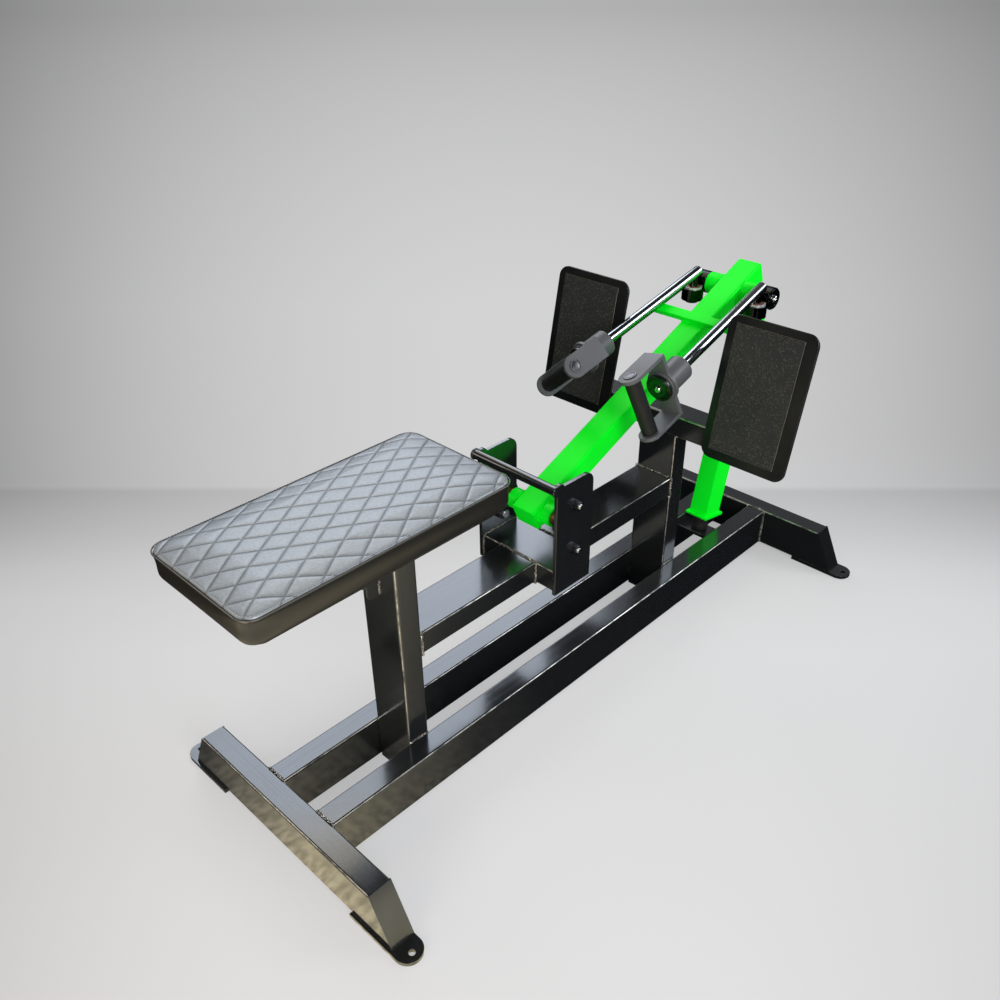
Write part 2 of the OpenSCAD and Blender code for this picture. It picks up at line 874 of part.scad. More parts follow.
// Flanged bronze bush in which the handle pin turns
module pin_bush(side) {
  color("peru") difference() {
    translate([pin_x, side * pin_y, housing_top]) union() {
      translate([0, 0, -housing_h]) cylinder(d = pin_d + 6, h = housing_h);
      cylinder(d = bush_flange_d, h = bush_flange_t);
    }
    translate([pin_x, side * pin_y, housing_top - housing_h - 1])
      cylinder(d = pin_d + 2 * running_gap, h = housing_h + bush_flange_t + 2);
    translate([axle_x, 0, axle_z]) along_y(sleeve_d + 2 * part_gap, -sleeve_out - 9, sleeve_out + 9);
  }
}

module left_pin_bush() {
  pin_bush(1);
}

module right_pin_bush() {
  pin_bush(-1);
}

// Chrome bar with its upright pin; its far end carries the handle
module handle_bar(side, yaw) {
  bar_end = web_start + web_t + end_disc_gap;
  pin_low = housing_top - housing_h - part_gap - pin_head_t;
  color("silver") union() {
    on_bar(side, yaw) difference() {
      union() {
        translate([-bar_end, 0, 0]) rotate([0, 90, 0]) cylinder(d = bar_d, h = bar_end + bar_nose);
        translate([-hub_start + part_gap, 0, 0]) rotate([0, 90, 0]) cylinder(d = bar_ring_d, h = bar_ring_t);
      }
      translate([-bar_end - 1, 0, 0]) rotate([0, 90, 0]) cylinder(d = bolt_d, h = end_bolt_l + 1);
    }
    translate([pin_x, side * pin_y, pin_low]) cylinder(d = pin_d, h = bar_z - pin_low);
    translate([pin_x, side * pin_y, pin_low]) cylinder(d = pin_d + bolt_d, h = pin_head_t);
  }
}

module left_handle_bar() {
  handle_bar(1, left_yaw);
}

module right_handle_bar() {
  handle_bar(-1, right_yaw);
}

// Disc and button-head bolt that keep the handle on its bar
module end_disc(side, yaw) {
  x0 = -(web_start + web_t + end_disc_gap);
  color("black") on_bar(side, yaw) rotate([0, 90, 0]) translate([0, 0, x0]) union() {
    translate([0, 0, -end_disc_t]) cylinder(d = end_disc_d, h = end_disc_t);
    cylinder(d = bolt_d, h = end_bolt_l);
    translate([0, 0, -end_disc_t - button_t + 1]) cylinder(d = button_d - 3, h = button_t);
  }
}

module left_end_disc() {
  end_disc(1, left_yaw);
}

module right_end_disc() {
  end_disc(-1, right_yaw);
}

// Bent handle with its hub; the grip sits between its two ears
module stirrup(side, yaw, roll) {
  reach = grip_reach;
  color("gray") on_hub(side, yaw, roll) difference() {
    union() {
      translate([-web_start, 0, 0]) rotate([0, 90, 0]) cylinder(d = hub_d, h = web_start - hub_start);
      translate([-web_start - web_t, 0, 0]) rotate([0, 90, 0]) cylinder(d = web_disc_d, h = web_t);
      translate([-web_start - web_t - end_boss_t, 0, 0]) rotate([0, 90, 0])
        cylinder(d = end_boss_d, h = web_t);
      translate([-web_start - web_t, -ear_w / 2, -ear_half - ear_t])
        cube([web_t, ear_w, 2 * ear_half + 2 * ear_t]);
      for (k = [-ear_half - ear_t, ear_half]) {
        translate([-reach, -ear_w / 2, k]) cube([reach - web_start, ear_w, ear_t]);
        translate([-reach, 0, k]) cylinder(d = ear_w, h = ear_t);
      }
    }
    translate([-web_start - web_t - end_boss_t - 1, 0, 0]) rotate([0, 90, 0])
      cylinder(d = bar_d + 2 * running_gap, h = web_start + web_t + end_boss_t - hub_start + 2);
    translate([-reach, 0, -ear_half - ear_t - 1]) cylinder(d = grip_rod_d, h = 2 * ear_half + 2 * ear_t + 2);
  }
}

module left_stirrup() {
  stirrup(1, left_yaw, left_roll);
}

module right_stirrup() {
  stirrup(-1, right_yaw, right_roll);
}

// Rod through both ears on which the grip turns, with flush round plugs at its ends
module grip_rod(side, yaw, roll) {
  half = ear_half + ear_t;
  color("silver") on_hub(side, yaw, roll) translate([-grip_reach, 0, 0]) union() {
    translate([0, 0, -half]) cylinder(d = grip_rod_d, h = 2 * half);
    translate([0, 0, half]) cylinder(d = plug_d, h = plug_t);
    translate([0, 0, -half - plug_t]) cylinder(d = plug_d, h = plug_t);
  }
}

module left_grip_rod() {
  grip_rod(1, left_yaw, left_roll);
}

module right_grip_rod() {
  grip_rod(-1, right_yaw, right_roll);
}

module grip(side, yaw, roll) {
  half = ear_half - part_gap;
  color("dimgray") on_hub(side, yaw, roll) translate([-grip_reach, 0, 0]) difference() {
    translate([0, 0, -half]) cylinder(d = grip_d, h = 2 * half);
    translate([0, 0, -half - 1]) cylinder(d = grip_rod_d + 2 * running_gap, h = 2 * half + 2);
  }
}

module left_grip() {
  grip(1, left_yaw, left_roll);
}

module right_grip() {
  grip(-1, right_yaw, right_roll);
}

front_cross_member();
rear_cross_member();
cross_member_caps();
floor_plates();
left_rail();
right_rail();
seat_post();
front_beam();
rear_beam();
cross_box();
left_pivot_plate();
right_pivot_plate();
stop_rod();
mid_post();
foot_crossbar();
foot_plate_ribs();
left_foot_plate();
right_foot_plate();
left_grip_sheet();
right_grip_sheet();
bumper_bracket();
rubber_bumper();
bumper_screw();
seat_gusset();
seat_mount_plate();
seat_board();
seat_cushion();
seat_bolts();
left_pivot_bearing();
right_pivot_bearing();
pivot_bolts();
arm_tube();
arm_caps();
pivot_bosses();
handle_bosses();
stop_bar();
strut();
strut_foot();
weight_horn();
horn_collar();
horn_cap();
pivot_shaft();
shaft_spacers();
handle_axle();
axle_caps();
axle_cap_bolts();
left_knuckle();
right_knuckle();
left_pin_bush();
right_pin_bush();
left_handle_bar();
right_handle_bar();
left_end_disc();
right_end_disc();
left_stirrup();
right_stirrup();
left_grip_rod();
right_grip_rod();
left_grip();
right_grip();
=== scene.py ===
import math

import bmesh
import bpy
import numpy as np
from mathutils import Matrix, Vector


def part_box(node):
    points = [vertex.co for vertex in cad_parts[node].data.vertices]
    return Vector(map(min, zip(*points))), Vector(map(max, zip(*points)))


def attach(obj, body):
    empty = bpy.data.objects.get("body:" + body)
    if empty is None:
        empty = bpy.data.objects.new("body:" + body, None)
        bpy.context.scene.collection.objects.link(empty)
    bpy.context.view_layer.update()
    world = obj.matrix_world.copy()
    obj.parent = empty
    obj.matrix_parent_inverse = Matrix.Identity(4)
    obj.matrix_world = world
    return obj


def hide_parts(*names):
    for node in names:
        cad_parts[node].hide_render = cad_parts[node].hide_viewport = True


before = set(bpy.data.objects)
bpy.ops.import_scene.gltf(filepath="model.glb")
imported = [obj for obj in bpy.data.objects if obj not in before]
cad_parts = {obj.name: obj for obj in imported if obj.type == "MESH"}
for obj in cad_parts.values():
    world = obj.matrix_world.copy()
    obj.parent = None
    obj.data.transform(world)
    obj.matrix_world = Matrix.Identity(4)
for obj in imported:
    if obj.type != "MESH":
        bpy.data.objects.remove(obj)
bpy.context.scene.view_settings.view_transform = "Standard"
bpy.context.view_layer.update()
link = bpy.context.scene.collection.objects.link

# Viewpoint
# The machine is seen from the seat end on the user's right, from a little above head height,
# so the camera looks down along the bench towards the foot plates.
camera = bpy.data.objects.new("camera", bpy.data.cameras.new("camera"))
link(camera)
bpy.context.scene.camera = camera
view_axes = (
    Vector((0.69697, -0.71703, -0.00970)),
    Vector((0.40656, 0.38397, 0.82902)),
    Vector((-0.59071, -0.58175, 0.55913)),
)
view_point = Matrix.Translation((-1.29961, -1.09741, 1.46612))
camera.matrix_world = view_point @ Matrix(view_axes).transposed().to_4x4()
camera.data.lens, camera.data.shift_x, camera.data.shift_y = 33.785, -0.00167, 0.04098


# Studio
# A pale floor that turns greyer towards the back of the room, as in a plain product studio, with painted shade
# that darkens it towards the back and the sides, lit by one large soft box behind the machine and gentle fill from
# the camera's side.
def linear(code):
    """Linear colour of an sRGB hex value."""
    parts = [int(code[i:i + 2], 16) / 255 for i in (1, 3, 5)]
    return tuple(c / 12.92 if c <= 0.04045 else ((c + 0.055) / 1.055) ** 2.4 for c in parts) + (1.0,)


def given(thing, **settings):
    """Sets properties of a thing and returns it."""
    for name, value in settings.items():
        setattr(thing, name, value)
    return thing


def add(tree, kind, inputs=(), stops=(), **settings):
    """Adds one node. Inputs are a dict by name or number, or a list in the order of the sockets, and
    take a value, a socket, or another node, which stands for its first output. Stops are the rising
    positions and sRGB hex values of a colour ramp. Other settings go to the node's properties."""
    node = given(tree.nodes.new(kind), **settings)
    for index, (position, code) in enumerate(stops):
        ramp = node.color_ramp.elements
        given(ramp[index] if index < len(ramp) else ramp.new(position), position=position, color=linear(code))
    for name, value in dict(enumerate(inputs) if isinstance(inputs, list) else inputs).items():
        if isinstance(value, bpy.types.Node):
            value = value.outputs[0]
        if isinstance(value, bpy.types.NodeSocket):
            tree.links.new(value, node.inputs[name])
        else:
            node.inputs[name].default_value = value
    return node


def blank(name):
    """A new material, its tree, and the object coordinates, which are the tree's only node."""
    made = bpy.data.materials.new(name)
    made.use_nodes = True
    tree = made.node_tree
    tree.nodes.clear()
    return made, tree, add(tree, "ShaderNodeTexCoord").outputs["Object"]


painted_floor, tree, place = blank("painted_studio_floor")
ray = add(tree, "ShaderNodeLightPath").outputs
to_back, to_right = (0.7283, 0.6853, 0), (0.6853, -0.7283, 0)
front_of_room, bright_angle, deepest_painted_side_shade = 2.69, 0.02, 0.5
depth = add(tree, "ShaderNodeVectorMath", [place, to_back], operation="DOT_PRODUCT").outputs["Value"]
sideways = add(tree, "ShaderNodeVectorMath", [place, to_right], operation="DOT_PRODUCT").outputs["Value"]
tone = add(tree, "ShaderNodeValToRGB", [add(tree, "ShaderNodeMapRange", [depth, -1.0, 1.0])], stops=(
    (0.0, "#d9d9da"), (0.5, "#e0e0e1"), (0.67, "#dadadb"), (0.76, "#cfcfd0"), (0.872, "#c4c4c5"), (0.888, "#d3d3d4"),
))
# Painted shade: the tone the camera sees darkens towards the back and towards the sides, as light falling off would.
farther = add(tree, "ShaderNodeMath", [depth, 0.4], operation="POWER")
painted_back_shade = add(tree, "ShaderNodeMapRange", [farther, 1.4, 3.1, 1.0, 0.68])
distance = add(tree, "ShaderNodeMath", [depth, front_of_room], operation="ADD")
angle = add(tree, "ShaderNodeMath", [sideways, distance], operation="DIVIDE")
aside = add(tree, "ShaderNodeMath", [angle, bright_angle], operation="ADD")
square = add(tree, "ShaderNodeMath", [aside, 2.0], operation="POWER")
strength = add(tree, "ShaderNodeMapRange", [depth, 0.2, 0.8, 0.86, 2.05])
painted_side_shade = add(tree, "ShaderNodeMath", [square, strength], operation="MULTIPLY")
limited = add(tree, "ShaderNodeMath", [painted_side_shade, deepest_painted_side_shade], operation="MINIMUM")
kept = add(tree, "ShaderNodeMath", [1.0, limited], operation="SUBTRACT")
painted_shade_factor = add(tree, "ShaderNodeMath", [kept, painted_back_shade], operation="MULTIPLY")
seen = add(tree, "ShaderNodeVectorMath", {0: tone, 3: painted_shade_factor}, operation="SCALE")
glow = add(tree, "ShaderNodeEmission", {"Color": seen})
matt = add(tree, "ShaderNodeBsdfDiffuse", {"Color": seen})
part = add(tree, "ShaderNodeMapRange", [depth, 0.5, 1.1, 0.62])
shown = add(tree, "ShaderNodeMixShader", [part, matt, glow])

# Painted reflection: polished parts mirror a warm patch of painted light glowing on the floor under the seat end, and
# dark floor everywhere else.
seat_end, patch_inner, patch_outer = (-0.9, -0.5, 0.0), 1.0, 1.4
axes = add(tree, "ShaderNodeSeparateXYZ", [place]).outputs
slant = add(tree, "ShaderNodeMath", [axes["X"], axes["Y"]], operation="ADD")
near = add(tree, "ShaderNodeMapRange", [slant, -1.4, 0.3])
front = add(tree, "ShaderNodeMapRange", [axes["X"], -0.80, -0.72, 0.56])
lit = add(tree, "ShaderNodeMath", [near, front], operation="MINIMUM")
away = add(tree, "ShaderNodeVectorMath", [place, seat_end], operation="DISTANCE").outputs["Value"]
outside = add(tree, "ShaderNodeMapRange", [away, patch_inner, patch_outer])
warm = add(tree, "ShaderNodeMath", [lit, outside], operation="MAXIMUM")
painted_warm_glow = add(tree, "ShaderNodeValToRGB", [warm], stops=(
    (0.0, "#fff4d6"), (0.18, "#eadbb5"), (0.32, "#eadbb5"), (0.43, "#9c9480"), (0.54, "#504e48"), (0.67, "#1e1f20"),
    (1.0, "#111417"),
))
# Painted light: the warm patch glows in blotches and is seen only in reflections.
glow_blotches = add(tree, "ShaderNodeTexNoise", {"Vector": place, "Scale": 60.0, "Detail": 4.0})
patches = add(tree, "ShaderNodeMapRange", [glow_blotches, 0.38, 0.62, 0.9, 1.7])
painted_reflected_glow = add(tree, "ShaderNodeEmission", {"Color": painted_warm_glow, "Strength": patches})
soft = add(tree, "ShaderNodeBsdfDiffuse", {"Color": linear("#c2c2c3")})
unseen = add(tree, "ShaderNodeMixShader", [ray["Is Glossy Ray"], soft, painted_reflected_glow])
floor_look = add(tree, "ShaderNodeMixShader", [ray["Is Camera Ray"], unseen, shown])
add(tree, "ShaderNodeOutputMaterial", {"Surface": floor_look})

floor_mesh = bpy.data.meshes.new("studio_floor")
floor_half, floor_level = 40, -0.0004
floor_mesh.from_pydata(
    [(x * floor_half, y * floor_half, floor_level) for x, y in ((-1, -1), (1, -1), (1, 1), (-1, 1))],
    [], [(0, 1, 2, 3)],
)
floor_mesh.materials.append(painted_floor)
studio_floor = bpy.data.objects.new("studio_floor", floor_mesh)
link(studio_floor)

for name, position, aim, size, power, colour in (
    ("soft_box_behind", (1.95, 3.35, 3.35), (0.0, 0.0, 0.3), (3.4, 2.6), 92, "#eef4ff"),
    ("warm_box_over_seat", (0.67, 1.84, 3.79), (-0.7, -0.2, 0.1), (2.4, 1.2), 18, "#ffeccb"),
    ("warm_fill", (-2.0, -0.5, 0.55), (-0.75, -0.05, 0.45), (0.9, 0.5), 13, "#ffecd2"),
    ("camera_fill", (-1.4, -3.1, 2.0), (0.1, 0.0, 0.5), (2.0, 1.6), 88, "#ffffff"),
    ("edge_light_right", (1.98, -1.66, 2.05), (0.0, 0.0, 0.3), (1.3, 0.9), 30, "#f4f8ff"),
    ("edge_light_left", (-2.18, 1.45, 1.57), (-0.775, 0.0, 0.1), (0.9, 0.9), 6, "#fff0d6"),
):
    lamp = given(bpy.data.lights.new(name, "AREA"), shape="RECTANGLE", energy=power, color=linear(colour)[:3])
    lamp.size, lamp.size_y = size
    holder = bpy.data.objects.new(name, lamp)
    holder.visible_camera = False
    link(holder)
    aimed = (Vector(aim) - Vector(position)).to_track_quat("-Z", "Y").to_matrix().to_4x4()
    holder.matrix_world = Matrix.Translation(position) @ aimed

room = bpy.data.worlds.new("studio_room")
bpy.context.scene.world = room
room.use_nodes = True
tree = room.node_tree
tree.nodes.clear()
up = add(tree, "ShaderNodeSeparateXYZ", [add(tree, "ShaderNodeTexCoord").outputs["Generated"]]).outputs["Z"]
walls = add(tree, "ShaderNodeMapRange", [up, 0.05, 0.75, 0.16, 0.50])
ceiling = add(tree, "ShaderNodeMapRange", [up, 0.70, 0.80, 0.20, 0.03])
horizon = add(tree, "ShaderNodeMapRange", [up, 0.05, 0.30, 0.02, 0.20])
darker = add(tree, "ShaderNodeMath", [ceiling, horizon], operation="MINIMUM")
mirror = add(tree, "ShaderNodeLightPath").outputs["Is Glossy Ray"]
level = add(tree, "ShaderNodeMix", {"Factor": mirror, 2: walls, 3: darker}, data_type="FLOAT")
air = add(tree, "ShaderNodeBackground", {"Color": linear("#f4f6f8"), "Strength": level})
add(tree, "ShaderNodeOutputWorld", {"Surface": air})


# Base frame
# Rectangular steel tubes, cut, welded and lacquered black. The thin glossy lacquer shows the drawing
# marks along each tube as fine streaks, and a broken pale metal line on the tubes' round corners is a painted
# highlight.
def lacquer(name, stretch):
    """Lacquer on drawn tube: a deep soft gloss, broken by streaks about 2.4 mm apart. The real ones
    are finer and wouldn't show."""
    made, tree, place = blank(name)
    drawn = add(tree, "ShaderNodeMapping", {"Vector": place, "Scale": stretch})
    streak = add(tree, "ShaderNodeTexNoise", {"Vector": drawn, "Scale": 1.0, "Detail": 3.0, "Roughness": 0.6})
    cloud = add(tree, "ShaderNodeTexNoise", {"Vector": place, "Scale": 9.0, "Detail": 3.0})
    colour = add(tree, "ShaderNodeValToRGB", [streak], stops=((0.30, "#494c4f"), (0.75, "#53575b")))
    gloss = add(tree, "ShaderNodeMath", [streak, cloud], operation="ADD")
    rough = add(tree, "ShaderNodeMapRange", [gloss, 0.7, 1.3, 0.12, 0.24])
    ripple = add(tree, "ShaderNodeBump", {"Strength": 0.025, "Distance": 0.0003, "Height": streak})
    steel = add(tree, "ShaderNodeBsdfPrincipled", {
        "Base Color": colour, "Metallic": 0.9, "Roughness": rough,
        "Coat Weight": 0.6, "Coat Roughness": 0.12, "Normal": ripple,
    })
    add(tree, "ShaderNodeOutputMaterial", {"Surface": steel})
    return made


def dress(material, *nodes):
    """Gives the CAD nodes a finish in place of their plain colour."""
    for name in nodes:
        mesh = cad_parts[name].data
        mesh.materials.clear()
        mesh.materials.append(material)


lengthwise = lacquer("black_lacquer_along_x", (3, 420, 420))
crosswise = lacquer("black_lacquer_along_y", (420, 3, 420))
upright = lacquer("black_lacquer_along_z", (420, 420, 3))
dress(upright, "cross_member_caps")


# Weld beads
# The members are joined by hand-laid fillet welds, a row of overlapping ripples about 5 mm wide.
# The lacquer is thin on them, and their pale patches are partly the slightly rough metal showing through and partly
# painted glints.
def geometry_tree(name, sizes):
    """A geometry tree with its sizes as named inputs, and the outputs of its input node."""
    group = bpy.data.node_groups.new(name, "GeometryNodeTree")
    group.interface.new_socket("Geometry", in_out="INPUT", socket_type="NodeSocketGeometry")
    for label, value in sizes.items():
        group.interface.new_socket(label, in_out="INPUT", socket_type="NodeSocketFloat").default_value = value
    group.interface.new_socket("Geometry", in_out="OUTPUT", socket_type="NodeSocketGeometry")
    return group, add(group, "NodeGroupInput").outputs


def realized(group, made, material):
    """Ends a geometry tree with real meshes in place of instances, all in one material."""
    real = add(group, "GeometryNodeRealizeInstances", [made])
    dressed = add(group, "GeometryNodeSetMaterial", {"Geometry": real, "Material": material})
    add(group, "NodeGroupOutput", [dressed])
    return group


any_turn = {0: (0, 0, 0), 1: (6.2, 6.2, 6.2)}


def bead_tree(name, width, pitch, material):
    """Lays a row of overlapping ripples along a line."""
    group, start = geometry_tree(name, {"Bead width": width, "Ripple pitch": pitch})
    line = add(group, "GeometryNodeMeshToCurve", {"Mesh": start["Geometry"]})
    steps = add(group, "GeometryNodeResampleCurve", {"Curve": line, "Length": start["Ripple pitch"]}, mode="LENGTH")
    ripple = add(group, "GeometryNodeMeshUVSphere", {"Segments": 7, "Rings": 4, "Radius": 0.5})
    size = add(group, "FunctionNodeRandomValue", {2: 0.82, 3: 1.12, "Seed": 4}, data_type="FLOAT")
    scale = add(group, "ShaderNodeMath", [size.outputs[1], start["Bead width"]], operation="MULTIPLY")
    turn = add(group, "FunctionNodeRandomValue", {**any_turn, "Seed": 9}, data_type="FLOAT_VECTOR")
    row = add(group, "GeometryNodeInstanceOnPoints", {
        "Points": steps, "Instance": ripple, "Rotation": turn, "Scale": scale,
    })
    return realized(group, row, material)


def grown(name, mesh, group, body):
    """Runs a geometry tree on a mesh and keeps its result as a plain piece that rides on a body."""
    piece = bpy.data.objects.new(name, mesh)
    link(piece)
    piece.modifiers.new("made", "NODES").node_group = group
    settled(piece)
    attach(piece, body)
    return piece


def settled(piece):
    """Applies every modifier of a piece to its mesh."""
    ready = bpy.data.meshes.new_from_object(piece.evaluated_get(bpy.context.evaluated_depsgraph_get()))
    piece.modifiers.clear()
    piece.data = ready
    ready.name = piece.name


def paths(lines):
    """A mesh of open polylines, given in millimetres."""
    points, edges = [], []
    for line in lines:
        edges += [(len(points) + i, len(points) + i + 1) for i in range(len(line) - 1)]
        points += [Vector(p) / 1000 for p in line]
    mesh = bpy.data.meshes.new("weld_lines")
    mesh.from_pydata(points, edges, [])
    return mesh


def loop_x(x, half_y, z0, z1):
    """Weld round the end of a beam that meets an upright face at x."""
    return [(x, -half_y, z0), (x, half_y, z0), (x, half_y, z1), (x, -half_y, z1), (x, -half_y, z0)]


def patchy(name, noise, dark, pale, metallic, roughness):
    """Dark metal with pale metal patches: on the weld beads partly thin lacquer and partly painted glints, on the
    tube corners a painted highlight line.
    """
    made, tree, place = blank(name)
    wear = add(tree, "ShaderNodeTexNoise", {"Vector": place, **noise})
    tint = add(tree, "ShaderNodeValToRGB", [wear], stops=(dark, pale))
    metal = add(tree, "ShaderNodeBsdfPrincipled", {"Base Color": tint, "Metallic": metallic, "Roughness": roughness})
    add(tree, "ShaderNodeOutputMaterial", {"Surface": metal})
    return made


# Pale patches on the beads: partly metal showing through, partly painted glints.
bead_with_painted_glints = patchy(
    "thin_lacquer_weld_with_painted_glints", {"Scale": 500.0}, (0.50, "#141516"), (0.60, "#dedbd3"), 0.8, 0.34)
rail_top, beam_top, tube_side = 108.5, 358.5, 50.5
frame_welds = []
for side in (-1, 1):
    for front, rear in ((-500, -450), (331, 381)):
        frame_welds.append([(front + 3, side * 50, rail_top), (rear - 3, side * 50, rail_top)])
    for end in (-725, 725):
        frame_welds.append([(end, side * 54, rail_top), (end, side * 96, rail_top)])
        for y in (side * 100.5, side * 49.5):
            frame_welds.append([(end, y, 12), (end, y, 104)])
    frame_welds.append([(-134, side * 100, beam_top), (-42, side * 100, beam_top)])
    frame_welds.append([(-138.5, side * 100, 312), (-138.5, side * 100, 354)])
frame_welds += [loop_x(x, tube_side, 307.5, beam_top) for x in (-450, -138, -38, 331)]
frame_welds += [[(334, y, 466), (378, y, 466)] for y in (-tube_side, tube_side)]
frame_welds += [[(-500.5, y, 456), (-500.5, y, 576)] for y in (4, -4)]
frame_welds += [[(-497, y, 578.6), (-453, y, 578.6)] for y in (-tube_side, tube_side)]
frame_bead = bead_tree("frame_bead", 0.0062, 0.0030, bead_with_painted_glints)
grown("frame_weld_beads", paths(frame_welds), frame_bead, "base")


# Bench cushion
# A long firm foam pad on a plywood board, covered in vinyl. The pearl-grey top is quilted in diamonds
# about 72 by 46 mm and sewn to a dark, smooth border along a piped seam; the foam crowns it slightly.
def merged_copy(node):
    """The CAD node's mesh with its loose triangles joined."""
    made = bmesh.new()
    made.from_mesh(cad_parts[node].data)
    bmesh.ops.remove_doubles(made, verts=made.verts, dist=0.00001)
    return made


def as_mesh(name, made):
    """Turns a bmesh into a mesh."""
    mesh = bpy.data.meshes.new(name)
    made.to_mesh(mesh)
    made.free()
    return mesh


def keep(name, made, material, body, replaces=(), smooth=True):
    """Turns a bmesh into a finished piece that rides on a body."""
    bmesh.ops.remove_doubles(made, verts=made.verts, dist=0.000005)
    bmesh.ops.recalc_face_normals(made, faces=made.faces)
    mesh = as_mesh(name, made)
    if smooth:
        mesh.shade_smooth()
    mesh.materials.append(material)
    piece = bpy.data.objects.new(name, mesh)
    link(piece)
    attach(piece, body)
    if replaces:
        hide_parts(*replaces)
    return piece


bench_low, bench_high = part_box("seat_cushion")
bench_mid = (bench_low + bench_high) / 2
seam_height = 0.650
seam_half = Vector((0.273, 0.1395))
seam_corner = 0.030
quilt_angle = math.radians(32.9)
quilt_gap = 0.03896
quilt_start = (-0.16665, 0.30485)
sewn_half, sewn_depth, sewn_share = 0.0020, 0.0017, 0.65
seam_reach, seam_depth, pull_centre = 0.0022, 0.0014, 0.22
held_height, held_inset, most_swelling = 0.004, 0.006, 0.004
plain_edge, edge_blend = 0.004, 0.006


def seam_distance(x, y):
    """How far inside the seam's rounded rectangle a point lies."""
    dx = np.abs(x - bench_mid.x) - (seam_half.x - seam_corner)
    dy = np.abs(y) - (seam_half.y - seam_corner)
    outside = np.hypot(np.maximum(dx, 0), np.maximum(dy, 0))
    return seam_corner - outside - np.minimum(np.maximum(dx, dy), 0)


def positions(mesh):
    """The mesh's points as rows of x, y and z."""
    found = np.zeros(len(mesh.vertices) * 3)
    mesh.vertices.foreach_get("co", found)
    return found.reshape(-1, 3)


cushion = bpy.data.objects.new("bench_cushion", as_mesh("bench_cushion", merged_copy("seat_cushion")))
link(cushion)
given(cushion.modifiers.new("grid", "REMESH"), mode="VOXEL", voxel_size=0.005)
settled(cushion)
start = positions(cushion.data)
held = cushion.vertex_groups.new(name="held")
inside = seam_distance(start[:, 0], start[:, 1])
low = start[:, 2] < bench_low.z + held_height
seam = (np.abs(start[:, 2] - seam_height) < held_height) & (inside < held_inset)
held.add([int(i) for i in np.nonzero(low | seam)[0]], 1.0, "REPLACE")
cover = cushion.modifiers.new("cover", "CLOTH")
given(
    cover.settings, quality=5, mass=0.3, tension_stiffness=30, compression_stiffness=30, bending_stiffness=2,
    vertex_group_mass="held", use_pressure=True, uniform_pressure_force=4,
)
cover.settings.effector_weights.gravity = 0
cover.collision_settings.use_collision = False
for step in range(1, 21):
    bpy.context.scene.frame_set(step)
swollen = bpy.data.meshes.new_from_object(cushion.evaluated_get(bpy.context.evaluated_depsgraph_get()))
moved = positions(swollen) - start
travel = np.linalg.norm(moved, axis=1, keepdims=True)
moved *= np.minimum(1, most_swelling / np.maximum(travel, 1e-9))
start += moved
cushion.modifiers.clear()
cushion.vertex_groups.clear()
bpy.context.scene.frame_set(1)
start[:, 2] = np.maximum(start[:, 2], bench_low.z)
cushion.data.vertices.foreach_set("co", start.ravel())
cushion.data.update()
given(cushion.modifiers.new("even", "SMOOTH"), factor=0.5, iterations=4)
given(cushion.modifiers.new("finer", "SUBSURF"), levels=1, render_levels=1)
settled(cushion)

point = positions(cushion.data)
inside = seam_distance(point[:, 0], point[:, 1])
top = point[:, 2] > seam_height + 0.001
along = point[:, 0] * math.sin(quilt_angle)
across = point[:, 1] * math.cos(quilt_angle)
channel = np.zeros(len(point))
for line, shift in zip((along + across, across - along), quilt_start):
    off = np.abs((line - shift + quilt_gap / 2) % quilt_gap - quilt_gap / 2)
    pillow = (1 - sewn_share) * (1 - 2 * off / quilt_gap) ** 2
    channel = np.maximum(channel, sewn_share * np.exp(-((off / sewn_half) ** 2)) + pillow)
panel = np.clip((inside - plain_edge) / edge_blend, 0, 1)
point[:, 2] -= np.where(top, sewn_depth * channel * panel, 0)
groove = np.exp(-(((point[:, 2] - seam_height) / seam_reach) ** 2)) * (inside < 0.010)
centre_x = bench_mid.x + np.sign(point[:, 0] - bench_mid.x) * pull_centre
towards = np.stack([centre_x - point[:, 0], -point[:, 1]], axis=1)
towards /= np.maximum(np.linalg.norm(towards, axis=1, keepdims=True), 1e-9)
point[:, :2] += towards * (seam_depth * groove)[:, None]
cushion.data.vertices.foreach_set("co", point.ravel())
cushion.data.shade_smooth()

# Embossed vinyl: a soft pearly sheen with a leather grain of about 2.4 mm, and a plain dark border.
quilted_vinyl, tree, place = blank("quilted_vinyl_and_dark_border")
height = add(tree, "ShaderNodeSeparateXYZ", [place]).outputs["Z"]
on_top = add(tree, "ShaderNodeMath", [height, seam_height + 0.0004], operation="GREATER_THAN")
lines = []
for slope, shift in zip((1, -1), quilt_start):
    direction = (slope * math.sin(quilt_angle), math.cos(quilt_angle), 0)
    run = add(tree, "ShaderNodeVectorMath", [place, direction], operation="DOT_PRODUCT")
    moved = add(tree, "ShaderNodeMath", [run.outputs["Value"], 10 * quilt_gap - shift], operation="ADD")
    lines.append(add(tree, "ShaderNodeMath", [moved, quilt_gap / 2], operation="PINGPONG"))
nearest = add(tree, "ShaderNodeMath", [lines[0], lines[1]], operation="MINIMUM")
sewn = add(tree, "ShaderNodeMapRange", [nearest, 0.0004, 0.0022, 1.0, 0.0], interpolation_type="SMOOTHSTEP")
sewn_top = add(tree, "ShaderNodeMath", [sewn, on_top], operation="MULTIPLY")
grain = add(tree, "ShaderNodeTexVoronoi", {"Vector": place, "Scale": 420.0}, feature="DISTANCE_TO_EDGE")
crease = add(tree, "ShaderNodeTexNoise", {"Vector": place, "Scale": 240.0, "Detail": 6.0, "Roughness": 0.7})
pearl = add(tree, "ShaderNodeMix", {"Factor": crease, 6: linear("#757a7e"), 7: linear("#a6adb4")}, data_type="RGBA")
thread = add(tree, "ShaderNodeMix", {"Factor": sewn_top, 6: pearl.outputs[2], 7: linear("#6d7276")}, data_type="RGBA")
